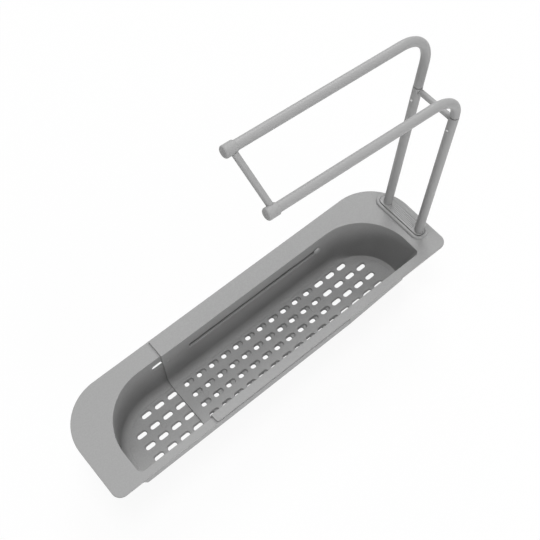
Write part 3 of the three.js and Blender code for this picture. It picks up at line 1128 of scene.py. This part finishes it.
@dataclass
class LeftTray(Tray):
    """The lower tray, whose arms carry studs into the other tray's slots.

    ramp says how far the turns of the lip's ramp lie from its start.
    """

    lip_start: float = 23.0
    ramp: Spot = (1.125, 3.6, 5.4)
    ramp_turn: float = 0.5
    notch: float = 1.9
    arm_height: float = 12.0
    arm_margin: float = 5.5
    arm_root: float = 8.0
    arm_edge: float = 0.3
    arm_steps: int = 16

    def rim_outline(self) -> list[Flat]:
        """The rim's closed outline, notched where the other tray's lip hangs down.

        Returns:
            The outline.
        """
        front, rear = -NEST.width / 2, NEST.width / 2
        radii = (NEST.rim_front_radius, NEST.rim_rear_radius)
        last, lip = self.across(NEST.tray_length), self.across(NEST.lip_end)
        step = [(last, front + self.notch), (lip, front + self.notch), (lip, front)]
        return [*step, *self.closed_outline(0.0, front, rear, radii), (last, rear)]

    def lip_edge(self) -> list[Flat]:
        """The lip's lower edge, with a short ramp at its start.

        Returns:
            Depths from the closed end and heights.
        """
        rim, low, start = self.rim_top - NEST.rim, NEST.lip_low, self.lip_start
        heights = (rim - self.ramp_turn, low + self.ramp_turn, low)
        ramp = [(start + run, height) for run, height in zip(self.ramp, heights)]
        return [(start, rim), *ramp, (NEST.lip_end, low)]

    def extras(self, shell: Form) -> None:
        """Adds the arms that reach past the open end, outside the other tray's walls.

        Args:
            shell: The tray so far.
        """
        root = self.across(NEST.tray_length - self.arm_root)
        length = self.stud + self.arm_margin - root
        middle = (root + length / 2, NEST.guide_height)
        outline = stadium(middle, length, self.arm_height, self.arm_steps)
        edges = (self.arm_edge, self.arm_edge)
        arms = Form()
        for low in (self.front - NEST.wall, self.rear):
            arms.slab(outline, low + SUNK, low + NEST.wall - SUNK, edges, sideways)
        shell.join(arms.bent(NEST.lean))


@dataclass
class RightTray(Tray):
    """The upper tray, whose tongue rides over the other rim and whose collar holds the towel frame.

    mouth_start says how far inside the walls' faces, and how far before the rounding, its cutter starts.
    """

    lip_start: float = 52.5
    lip_rise: float = 6.5
    lip_bevel: float = 1.0
    tongue_setback: float = 0.4
    tongue_corner: float = 3.0
    tongue_steps: int = 8
    tongue_start: float = 111.2
    setback: float = 0.9
    collar_width: float = 2.8
    collar_ledge: float = 0.15
    collar_round: float = 1.5
    collar_steps: int = 12
    seat_round: float = 0.25
    seat_gap: float = 0.5
    seat_shift: Flat = (-0.44, -0.42)
    mouth_round: float = 0.3
    mouth_start: Flat = (0.05, 0.5)

    def rim_outline(self) -> list[Flat]:
        """The rim's closed outline, stepped back along the tongue.

        Returns:
            The outline.
        """
        front, rear = -NEST.width / 2, NEST.width / 2 - self.setback
        tongue, turn = front + self.tongue_setback, self.tongue_corner
        corner = arc((NEST.tray_length - turn, tongue + turn), turn, 0.0, -90.0, self.tongue_steps)
        step = [(self.tongue_start, tongue), (self.tongue_start, front)]
        ends = [(self.across(u), y) for u, y in [*corner, *step]]
        radii = (NEST.rim_front_radius, NEST.rim_rear_radius)
        last = (self.across(NEST.tray_length), rear)
        return [*ends, *self.closed_outline(0.0, front, rear, radii), last]

    def lip_edge(self) -> list[Flat]:
        """The lip's lower edge, which rises towards the closed end.

        Returns:
            Depths from the closed end and heights.
        """
        start, high, bevel = self.lip_start, NEST.lip_low + self.lip_rise, self.lip_bevel
        return [(start, high + bevel), (start + bevel, high), (self.tongue_start, NEST.lip_low)]

    def mouth(self) -> Form:
        """A cutter that rounds the inner edge of the open end.

        Returns:
            The cutting form.
        """
        rising, over = self.fillet(), self.rim_top + PAST
        front = [(self.front, over), *((self.front + d, h) for d, h in reversed(rising))]
        rear = [*((self.rear - d, h) for d, h in rising), (self.rear, over)]
        end, edge, (inside, before) = NEST.tray_length, self.mouth_round, self.mouth_start
        steps = [(inside, end - edge - before)]
        steps += [(-d, end - h) for d, h in quarter(edge)] + [(-edge, end + PAST)]

        def facing(y: float, z: float, depth: float) -> Spot:
            """Places an outline in the YZ plane, so far from the closed end."""
            return (self.across(depth), y, z)

        return Form().stack([*front, *rear], steps, facing).bent(NEST.lean)

    def crest(self) -> float:
        """The height of the collar's top in the towel frame's own frame."""
        return TOWEL_FRAME.foot_thickness + self.collar_ledge

    def collar(self) -> Form:
        """The raised collar, whose top leans with the foot plate.

        Returns:
            The form, down into the rim.
        """
        x_middle, y_middle, base = TOWEL_FRAME.foot
        low = self.rim_top - NEST.rim / 2
        height = base + self.crest() - low
        slope = math.tan(math.radians(TOWEL_FRAME.lean)) / height

        def leaning(x: float, y: float, rise: float) -> Spot:
            """Places the collar's outline, with its top along the leaning plate."""
            return (x_middle + x, y_middle + y, low + rise * (1.0 - slope * x))

        outline = TOWEL_FRAME.foot_outline(self.seat_gap + self.collar_width, self.collar_steps)
        return Form().slab(outline, 0.0, height, (0.0, self.collar_round), leaning)

    def seat(self) -> Form:
        """The pocket that the foot plate sits in, flared at its mouth.

        Returns:
            The cutting form.
        """
        aside, along = self.seat_shift
        plate = TOWEL_FRAME.foot_outline(self.seat_gap, self.collar_steps)
        steps = [(0.0, -TOWEL_FRAME.fit), *flare(self.seat_round, self.crest())]
        outline = [(x + aside, y + along) for x, y in plate]
        return Form().stack(outline, steps).moved(TOWEL_FRAME.matrix())

    def extras(self, shell: Form) -> None:
        """Rounds the open end, adds the collar and cuts the foot plate's seat.

        Args:
            shell: The tray so far.
        """
        shell.cut(self.mouth()).join(self.collar()).cut(self.seat())


@dataclass
class GuideStuds:
    """The studs that hold the trays together and guide them."""

    left_head: float = 3.7
    right_head: float = 4.7
    dome_height: float = 2.0
    dome_point: float = 0.15
    dome_steps: int = 8
    play: float = 0.35
    flange: float = 1.0
    flange_gap: float = 0.3
    flange_edge: float = 0.2
    shank_edge: float = 0.3
    sides: int = 32

    def profile(self, tray: Body) -> list[Flat]:
        """The profile of a stud, outward from the right tray's inner wall face.

        Args:
            tray: The tray that carries the stud.

        Returns:
            Radius and height of each ring.
        """
        pair, shank = 2 * NEST.wall + NEST.gap, NEST.stud_shank / 2
        if tray is Body.LEFT:
            wide, flange, edge = self.left_head, pair + self.flange_gap, self.flange_edge
            tip, back = -self.play - self.dome_height, flange + self.flange
            head = dome(wide, -self.play, tip, self.dome_point, self.dome_steps)
            foot = [(wide, flange), (wide, back - edge), (wide - edge, back)]
            return [*reversed(head), (shank, -self.play), (shank, flange), *foot]
        base = pair + self.play
        head = dome(self.right_head, base, base + self.dome_height, self.dome_point, self.dome_steps)
        return [(shank - self.shank_edge, 0.0), (shank, self.shank_edge), (shank, base), *head]

    def build(self, wardrobe: Wardrobe, right: Tray) -> None:
        """Makes the four studs and dresses them.

        Args:
            wardrobe: Holds the finishes.
            right: The right tray, from whose walls the studs are placed.
        """
        for tray, x in ((Body.LEFT, NEST.left_stud), (Body.RIGHT, NEST.right_stud)):
            for side, wall, outward in (("front", right.front, -1.0), ("rear", right.rear, 1.0)):
                turn = Matrix.Rotation(math.radians(-90.0 * outward), 4, "X")
                place = Matrix.Translation((x, wall, NEST.guide_height)) @ turn
                form = Form().lathe(self.profile(tray), self.sides).moved(place).bent(NEST.lean)
                node = f"{tray.name.lower()}_{side}_stud"
                wardrobe.dress(form.piece(f"{node}_head"), STUD_PLASTIC, tray, node)


# Towel frame


@dataclass(frozen=True)
class Rail:
    """One of the two towel rails, with the leg that it plugs into.

    The bend is a quarter of an ellipse, rise high and sweep long. reach is how far to the left of the
    leg's axis the cap ends, and turn how far the rail is turned in its leg, in degrees.
    """

    name: str
    leg: str
    y: float
    height: float
    rise: float
    sweep: float
    reach: float
    turn: float
    button: Body


LOW_RAIL = Rail("low", "front", -19.0, 169.9, 26.0, 31.0, 182.3, 0.0, Body.LOW_BUTTON)
HIGH_RAIL = Rail("high", "rear", 19.0, 201.2, 33.5, 32.0, 189.1, 0.43, Body.HIGH_BUTTON)


@dataclass
class TowelFrame:
    """The plug-in towel frame, in its own frame under the middle of its foot.

    leg_mouth, cap_bevel and head_edge each say how far an edge is set back, and over what height. The dish
    in a cap's end falls to the first of its depths between its two margins from the cap's side, and to the
    second at its middle.
    """

    foot: Spot = (160.75, -2.65, 57.2)
    lean: float = 6.7
    foot_shift: float = 1.2
    foot_width: float = 10.6
    foot_length: float = 49.8
    foot_thickness: float = 1.2
    foot_corner: float = 4.5
    foot_edges: Flat = (0.15, 0.12)
    foot_steps: int = 10
    grooves: int = 5
    groove_width: float = 0.6
    groove_depth: float = 0.3
    groove_round: float = 0.15
    groove_pitch: float = 1.6
    groove_reach: float = 13.9
    groove_steps: int = 6
    peg_height: float = 13.2
    peg_sides: int = 40
    leg_radius: float = 3.85
    leg_bore: float = 3.15
    leg_height: float = 142.8
    leg_edge: float = 0.4
    leg_mouth: Flat = (0.15, 0.2)
    tie_radius: float = 2.5
    tie_height: float = 139.6
    tie_fit: float = 0.12
    weld_radius: float = 0.7
    weld_y: float = 4.0
    weld_root: float = 1.3
    weld_proud: float = 0.25
    weld_aim: Spot = (-0.55, 0.0, 0.83)
    rail_radius: float = 3.725
    rail_bore: float = 3.0
    rail_edge: float = 0.3
    bend_steps: int = 28
    spigot_radius: float = 2.85
    spigot_bore: float = 2.25
    spigot_length: float = 24.0
    spigot_edge: float = 0.4
    fit: float = 0.3
    cap_radius: float = 4.65
    cap_length: float = 9.8
    cap_end: float = 2.2
    cap_lip: float = 0.1
    cap_bevel: Flat = (0.45, 0.75)
    cap_round: float = 1.5
    cap_steps: int = 6
    cap_band: float = 1.0
    dish_margins: Flat = (2.2, 2.4)
    dish_depths: Flat = (0.06, 0.08)
    dish_point: float = 0.4
    bar_radius: float = 2.5
    bar_inset: float = 3.15
    bar_root: float = 0.5
    bar_sides: int = 36
    button_radius: float = 1.0
    button_height: float = 129.8
    button_proud: float = 0.45
    button_point: float = 0.08
    button_steps: int = 6
    button_sides: int = 24
    head_radius: float = 1.4
    head_thickness: float = 0.6
    head_edge: Flat = (0.2, 0.1)
    spring_leaf: float = 0.3
    spring_width: float = 2.0
    spring_length: float = 10.0
    spring_tip: float = 2.0
    spring_steps: int = 8
    hole_sides: int = 20
    dot_sides: int = 16
    sides: int = 48

    def matrix(self) -> Matrix:
        """Takes the towel frame's own frame to the part's."""
        return Matrix.Translation(self.foot) @ Matrix.Rotation(math.radians(self.lean), 4, "Y")

    def foot_outline(self, grow: float, steps: int) -> list[Flat]:
        """The foot plate's outline, grown all round.

        Args:
            grow: How far it is grown.
            steps: Straight steps in each corner.

        Returns:
            The closed outline.
        """
        width, length = self.foot_width + 2 * grow, self.foot_length + 2 * grow
        outline = rounded_box(width, length, self.foot_corner + grow, steps)
        return [(x, y + self.foot_shift) for x, y in outline]

    def foot_plate(self) -> Form:
        """The plate that sits in the collar, with fine grooves and a peg for each leg.

        Returns:
            The form.
        """
        top, edge = self.foot_thickness, self.spigot_edge
        plate = Form().slab(self.foot_outline(0.0, self.foot_steps), 0.0, top, self.foot_edges)
        run = stadium((0.0, 0.0), 2 * self.groove_reach, self.groove_width, self.groove_steps)
        grooves = Form()
        for step in range(self.grooves):
            middle = (step - (self.grooves - 1) / 2) * self.groove_pitch
            outline = [(middle - y, x) for x, y in run]
            grooves.slab(outline, top - self.groove_depth, top + PAST, (self.groove_round, 0.0))
        plate.cut(grooves)
        profile = [(self.spigot_radius, top / 2), (self.spigot_radius, self.peg_height - edge)]
        profile += [(self.spigot_radius - edge, self.peg_height)]
        for rail in (LOW_RAIL, HIGH_RAIL):
            plate.join(Form().lathe(profile, self.peg_sides, (0.0, rail.y)))
        return plate

    def button_hole(self, rail: Rail) -> Form:
        """The hole in a tube's left side that a snap button stands in.

        Args:
            rail: The rail that the button locks.

        Returns:
            The cutting form.
        """
        start = Vector((-2 * self.leg_radius, rail.y, self.button_height))
        stop = Vector((0.0, rail.y, self.button_height))
        return Form().rod(start, stop, self.button_radius + self.fit, self.hole_sides)

    def leg(self, rail: Rail) -> Form:
        """A leg of tube, open at both ends.

        Args:
            rail: The rail that plugs into it.

        Returns:
            The form.
        """
        low, top, edge = self.foot_thickness + self.fit, self.leg_height, self.leg_edge
        profile = [(self.leg_radius - edge, low), (self.leg_radius, low + edge)]
        profile += [(self.leg_radius - d, top - h) for d, h in quarter(edge)]
        narrow, (widening, depth) = self.leg_bore, self.leg_mouth
        wide = narrow + widening
        bore = [(narrow, low - PAST), (narrow, top - depth), (wide, top), (wide, top + PAST)]
        middle = (0.0, rail.y)
        tube = Form().lathe(profile, self.sides, middle).cut(Form().lathe(bore, self.sides, middle))
        start = Vector((0.0, rail.y, self.tie_height))
        inward = Vector((0.0, -math.copysign(2 * self.leg_radius, rail.y), 0.0))
        tie = Form().rod(start, start + inward, self.tie_radius + self.tie_fit)
        return tube.cut(tie).cut(self.button_hole(rail))

    def crossbar(self) -> Form:
        """The short bar between the legs, with a small weld dot on top.

        Returns:
            The form.
        """
        reach = HIGH_RAIL.y - self.leg_bore - self.fit / 2
        start, stop = (Vector((0.0, y, self.tie_height)) for y in (-reach, reach))
        middle, aim = Vector((0.0, self.weld_y, self.tie_height)), Vector(self.weld_aim)
        root, top = middle + aim * self.weld_root, middle + aim * (self.tie_radius + self.weld_proud)
        dot = Form().rod(root, top, self.weld_radius, self.dot_sides)
        return Form().rod(start, stop, self.tie_radius).join(dot)

    def twist(self, rail: Rail) -> Matrix:
        """Turns a rail in its leg, as far as the snap button's play lets it."""
        there = Matrix.Translation((0.0, rail.y, 0.0))
        return there @ Matrix.Rotation(math.radians(rail.turn), 4, "Z") @ there.inverted()

    def _swept(self, rail: Rail, stem: list[Flat], radius: float, over: float) -> Form:
        """A round body that runs up out of a leg and along a rail.

        Args:
            rail: The rail.
            stem: Radius and height of each ring of its upright start.
            radius: Radius along the rest.
            over: How far it runs past the free end.

        Returns:
            The form.
        """
        path = []
        for x, z in arc((0.0, 0.0), 1.0, 0.0, 90.0, self.bend_steps):
            middle = Vector((rail.sweep * (x - 1.0), rail.y, rail.height + rail.rise * (z - 1.0)))
            path.append((middle, Vector((-rail.sweep * z, 0.0, rail.rise * x)).normalized()))
        end = Vector((self.cap_end + self.fit - rail.reach - over, rail.y, rail.height))
        path.append((end, Vector((-1.0, 0.0, 0.0))))
        rings = [[(x, rail.y + y, z) for x, y in circle(r, self.sides)] for r, z in stem]
        for middle, along in path:
            across, aside = Vector((along.z, 0.0, -along.x)), Vector((0.0, 1.0, 0.0))
            rings.append([tuple(middle + across * x + aside * y) for x, y in circle(radius, self.sides)])
        return Form().loft(rings)

    def rail(self, rail: Rail) -> Form:
        """A bent tube with the spigot that plugs into its leg.

        Args:
            rail: The rail.

        Returns:
            The form.
        """
        shoulder, tip = self.leg_height + 2 * self.fit, self.leg_height - self.spigot_length
        plug, edge = self.spigot_radius, self.spigot_edge
        stem = [(plug - edge, tip), (plug, tip + edge), (plug, shoulder)]
        wide, edge = self.rail_radius, self.rail_edge
        stem += [(wide - edge, shoulder), (wide, shoulder + edge)]
        bore = [(self.spigot_bore, tip - PAST), (self.spigot_bore, shoulder)]
        tube = self._swept(rail, stem, wide, 0.0)
        tube.cut(self._swept(rail, bore, self.rail_bore, PAST))
        return tube.moved(self.twist(rail)).cut(self.button_hole(rail))

    def cap(self, rail: Rail) -> Form:
        """The cap on a rail's free end, bevelled at its mouth and slightly dished at its end.

        Args:
            rail: The rail.

        Returns:
            The form.
        """
        radius, long, bore = self.cap_radius, self.cap_length, self.rail_radius + self.fit
        mouth = [(bore, long - self.cap_end), (bore, 0.0), (bore + self.cap_lip, 0.0)]
        depth, height = self.cap_bevel
        skirt = [(radius - depth, self.cap_lip), (radius, height)]
        skirt += [(radius, long - self.cap_round - self.cap_band)]
        crown = [(radius - d, long - h) for d, h in quarter(self.cap_round, self.cap_steps)]
        (outer, inner), (shallow, deep) = self.dish_margins, self.dish_depths
        dish = [(radius - outer, long), (radius - inner, long - shallow), (self.dish_point, long - deep)]
        form = Form().lathe([*mouth, *skirt, *crown, *dish], self.sides)
        place = Matrix.Translation((long - rail.reach, rail.y, rail.height)) @ LEFTWARDS
        return form.moved(self.twist(rail) @ place)

    def end_bar(self) -> Form:
        """The bar between the two caps.

        Returns:
            The form.
        """
        ends = []
        for rail in (LOW_RAIL, HIGH_RAIL):
            inner = Vector((self.cap_length - self.bar_inset - rail.reach, rail.y, rail.height))
            ends.append(self.twist(rail) @ inner)
        sunk = (ends[1] - ends[0]).normalized() * (self.cap_radius - self.bar_root)
        return Form().rod(ends[0] + sunk, ends[1] - sunk, self.bar_radius, self.bar_sides)

    def button_head(self) -> float:
        """How far from the tube's axis the wide head of a snap button reaches."""
        return math.sqrt((self.spigot_bore - self.fit) ** 2 - self.head_radius**2)

    def button(self, rail: Rail) -> Form:
        """A snap button with its round tip and the head behind it.

        Args:
            rail: The rail that it locks.

        Returns:
            The form.
        """
        head, rear = self.button_head(), self.button_head() - self.head_thickness
        radius, wide, (bevel, rise) = self.button_radius, self.head_radius, self.head_edge
        profile = [(wide - bevel, rear), (wide, rear + rise), (wide, head), (radius, head)]
        tip = self.leg_radius + self.button_proud
        profile += dome(radius, self.leg_radius, tip, self.button_point, self.button_steps)
        place = Matrix.Translation((0.0, rail.y, self.button_height)) @ LEFTWARDS
        return Form().lathe(profile, self.button_sides).moved(place)

    def _set(self, wardrobe: Wardrobe, name: str, node: str, form: Form, look: Look) -> None:
        """Stands one rigid piece of the frame in the part and dresses it."""
        piece = form.moved(self.matrix()).piece(name)
        wardrobe.dress(piece, look[0], Body.FRAME, node)

    def _spring(self, wardrobe: Wardrobe, rail: Rail) -> None:
        """Makes the folded leaf behind a snap button.

        Args:
            wardrobe: Holds the finishes.
            rail: The rail that the button locks.
        """
        leaf, wide, tip = self.spring_leaf, self.spring_width, self.spring_tip
        near = self.head_thickness + self.fit - self.button_head()
        far = math.sqrt((self.spigot_bore - self.fit) ** 2 - (wide / 2) ** 2)
        low, elbow, top = (self.button_height + z for z in (-self.spring_length, -tip, tip))
        rising = straight((far - leaf, low + tip), (near + leaf, elbow), self.spring_steps)
        falling = straight((near, elbow), (far - 2 * leaf, low), self.spring_steps)
        ends = [(near + leaf, top), (near, top)]
        outline = [(far, low), (far, top), (far - leaf, top), *rising, *ends, *falling]
        form = Form().slab(outline, rail.y - wide / 2, rail.y + wide / 2, place=sideways)
        piece = form.moved(self.matrix()).piece(f"{rail.name}_leaf_spring")
        start, end = (self.matrix() @ Vector((x, rail.y, elbow)) * MM for x in (far - leaf, near + leaf))
        flex = (rail.button, start, end)
        wardrobe.dress(piece, BUTTON_STEEL, Body.FRAME, f"{rail.name}_button_spring", flex)

    def build(self, wardrobe: Wardrobe) -> None:
        """Makes every piece of the frame and dresses it.

        Args:
            wardrobe: Holds the finishes.
        """
        plastic, tube = (FITTING_PLASTIC, Slot.FITTING), (TUBE_COATING, Slot.TUBE)
        self._set(wardrobe, "foot_moulding", "foot_plate", self.foot_plate(), plastic)
        self._set(wardrobe, "leg_tie", "leg_crossbar", self.crossbar(), tube)
        self._set(wardrobe, "end_bar", "end_crossbar", self.end_bar(), tube)
        for rail in (LOW_RAIL, HIGH_RAIL):
            self._set(wardrobe, f"{rail.leg}_leg_tube", f"{rail.leg}_leg", self.leg(rail), tube)
            self._set(wardrobe, f"{rail.name}_rail_tube", f"{rail.name}_rail", self.rail(rail), tube)
            self._set(wardrobe, f"{rail.name}_cap", f"{rail.name}_end_cap", self.cap(rail), plastic)
            snap = self.button(rail).moved(self.matrix()).piece(f"{rail.name}_snap_pin")
            wardrobe.dress(snap, BUTTON_STEEL, rail.button, f"{rail.name}_snap_button")
            self._spring(wardrobe, rail)


TOWEL_FRAME = TowelFrame()

LEFT_TRAY = LeftTray(
    name="left_tray_moulding",
    body=Body.LEFT,
    closed_end=-172.0,
    direction=1.0,
    end=25.6,
    front=NEST.left_front,
    rear=NEST.left_rear,
    floor_top=NEST.floor,
    rim_top=NEST.left_rim_top,
    corner_radius=4.5,
    crease=0.0,
    slot_from=NEST.right_stud - NEST.slot_lead,
    slot_to=NEST.right_stud + NEST.travel,
    slot_middle=42.6,
    slot_height=6.6,
    stud=NEST.left_stud,
    drains=Drains(end_inset=50.35, open_inset=10.2, rear_inset=11.5, front_inset=20.7, skew=0.3),
    marks=((-133.25, -0.4), (-102.05, 0.2), (-102.35, 22.5)),
)
RIGHT_TRAY = RightTray(
    name="right_tray_moulding",
    body=Body.RIGHT,
    closed_end=172.0,
    direction=-1.0,
    end=25.6,
    front=NEST.left_front + NEST.wall + NEST.gap,
    rear=NEST.left_rear - NEST.wall - NEST.gap,
    floor_top=2 * NEST.floor + NEST.gap,
    rim_top=NEST.left_rim_top + NEST.rim + NEST.gap,
    corner_radius=4.0,
    crease=1.0,
    slot_from=NEST.left_stud - NEST.travel,
    slot_to=NEST.left_stud,
    slot_middle=NEST.guide_height,
    slot_height=5.3,
    stud=NEST.right_stud,
    drains=Drains(end_inset=49.45, open_inset=13.25, rear_inset=12.34, front_inset=20.4),
    marks=((-57.0, 22.2), (-17.0, 21.7), (62.5, 22.2), (103.0, 22.2), (62.5, -0.3), (-58.0, -0.3)),
)


# Stage


@dataclass(frozen=True)
class PhotoCamera:
    """The camera that took the photograph, as fitted to it, with its own sizes in pixels."""

    frame_px: float = 540.0
    focal_px: float = 990.3104
    centre_px: float = 270.5
    sensor: float = 36.0
    clip: Flat = (0.01, 50.0)
    place: Spot = (-204.4862, -294.9316, 779.9281)
    forward: Spot = (0.2951, 0.3927, -0.8710)
    right: Spot = (0.7676, -0.6402, -0.0286)

    def build(self) -> None:
        """Makes the camera and sets it as the scene's."""
        data = bpy.data.cameras.new("photo_camera")
        data.sensor_width = self.sensor
        data.lens = self.focal_px * self.sensor / self.frame_px
        off = (self.centre_px - self.frame_px / 2) / self.frame_px
        data.shift_x, data.shift_y = -off, off
        data.clip_start, data.clip_end = self.clip
        back = -Vector(self.forward).normalized()
        right = Vector(self.right)
        right = (right - back * right.dot(back)).normalized()
        turn = Matrix((right, back.cross(right), back)).transposed().to_4x4()
        made = bpy.data.objects.new("photo_camera", data)
        made.matrix_world = Matrix.Translation(Vector(self.place) * MM) @ turn
        bpy.context.scene.collection.objects.link(made)
        bpy.context.scene.camera = made


@dataclass(frozen=True)
class Lamp:
    """A round soft lamp, in metres and watts."""

    name: str
    power: float
    size: float
    place: Spot
    target: Spot = (0.0, 0.0, 0.05)

    def build(self) -> None:
        """Makes the lamp and aims it at the middle of the rack."""
        data = bpy.data.lights.new(self.name, "AREA")
        data.shape = "DISK"
        data.size = self.size
        data.energy = self.power
        made = bpy.data.objects.new(self.name, data)
        made.location = self.place
        aim = Vector(self.target) - Vector(self.place)
        made.rotation_mode = "QUATERNION"
        made.rotation_quaternion = aim.to_track_quat("-Z", "Y")
        bpy.context.scene.collection.objects.link(made)


@dataclass(frozen=True)
class Studio:
    """A white floor, an even white room and three broad soft lamps, in metres."""

    room_light: float = 0.26
    lamps: tuple[Lamp, ...] = (
        Lamp("top_lamp", 45.0, 1.42, (0.035, 0.035, 3.0)),
        Lamp("back_lamp", 48.0, 1.6, (1.9, 1.9, 2.4)),
        Lamp("front_lamp", 13.0, 1.0, (-0.3, -1.83, 0.56)),
    )
    white: tuple[float, ...] = (1.0, 1.0, 1.0, 1.0)
    floor_size: float = 8.0
    floor_cells: int = 8
    floor_drop: float = 0.0006
    floor_tone: float = 0.9
    floor_white: float = 0.92

    def _seen(self, graph: Graph) -> Value:
        """Tells which rays show the background.

        Args:
            graph: The graph that asks.

        Returns:
            1 for rays that show it in the picture, in gloss or through glass, and 0 for the others.
        """
        path = graph.node("ShaderNodeLightPath")
        names = ("Is Camera Ray", "Is Glossy Ray", "Is Transmission Ray")
        camera, gloss, glass = (graph.value(path, name) for name in names)
        return camera | gloss | glass

    def room(self) -> None:
        """Makes the world, which looks white and lights the object evenly."""
        world = bpy.data.worlds.new("white_room")
        world.use_nodes = True
        graph = Graph(world.node_tree)
        strengths = (self.room_light, 1.0)
        lit, shown = (
            graph.node("ShaderNodeBackground", {}, {"Color": self.white, "Strength": strength})
            for strength in strengths
        )
        sockets = {0: self._seen(graph), 1: lit.outputs[0], 2: shown.outputs[0]}
        mixed = graph.node("ShaderNodeMixShader", {}, sockets)
        graph.node("ShaderNodeOutputWorld", {}, {"Surface": mixed.outputs[0]})
        bpy.context.scene.world = world

    def floor_paint(self) -> bpy.types.Material:
        """A pale matte paint that mostly looks plain white.

        Returns:
            The material.
        """
        paint, graph = new_material("floor_paint")
        tone = (self.floor_tone, self.floor_tone, self.floor_tone, 1.0)
        matte = graph.node("ShaderNodeBsdfDiffuse", {}, {"Color": tone})
        glow = graph.node("ShaderNodeEmission", {}, {"Color": self.white, "Strength": 1.0})
        share = self._seen(graph) * self.floor_white
        sockets = {0: share, 1: matte.outputs[0], 2: glow.outputs[0]}
        mixed = graph.node("ShaderNodeMixShader", {}, sockets)
        graph.node("ShaderNodeOutputMaterial", {}, {"Surface": mixed.outputs[0]})
        return paint

    def floor(self) -> None:
        """Makes the pale floor, which keeps a faint shadow of the object."""
        mesh = bmesh.new()
        cells = self.floor_cells
        bmesh.ops.create_grid(mesh, x_segments=cells, y_segments=cells, size=self.floor_size / 2)
        data = bpy.data.meshes.new("floor")
        mesh.to_mesh(data)
        mesh.free()
        data.materials.append(self.floor_paint())
        made = bpy.data.objects.new("floor", data)
        made.location.z = -self.floor_drop
        bpy.context.scene.collection.objects.link(made)

    def build(self) -> None:
        """Sets up the whole stage."""
        bpy.context.scene.view_settings.view_transform = "Standard"
        self.room()
        self.floor()
        for lamp in self.lamps:
            lamp.build()


def clear_scene() -> None:
    """Removes what Blender starts with."""
    for leftover in list(bpy.data.objects):
        bpy.data.objects.remove(leftover)


def main() -> None:
    """Loads the frame, builds the pieces over it and sets up the stage."""
    logging.basicConfig(level=logging.INFO, format="%(name)s: %(message)s")
    clear_scene()
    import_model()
    wardrobe = Wardrobe()
    for tray, node in ((LEFT_TRAY, "left_tray"), (RIGHT_TRAY, "right_tray")):
        wardrobe.dress(tray.build(), TRAY_PLASTIC, tray.body, node)
    GuideStuds().build(wardrobe, RIGHT_TRAY)
    TOWEL_FRAME.build(wardrobe)
    Studio().build()
    PhotoCamera().build()


if __name__ == "__main__":
    main()
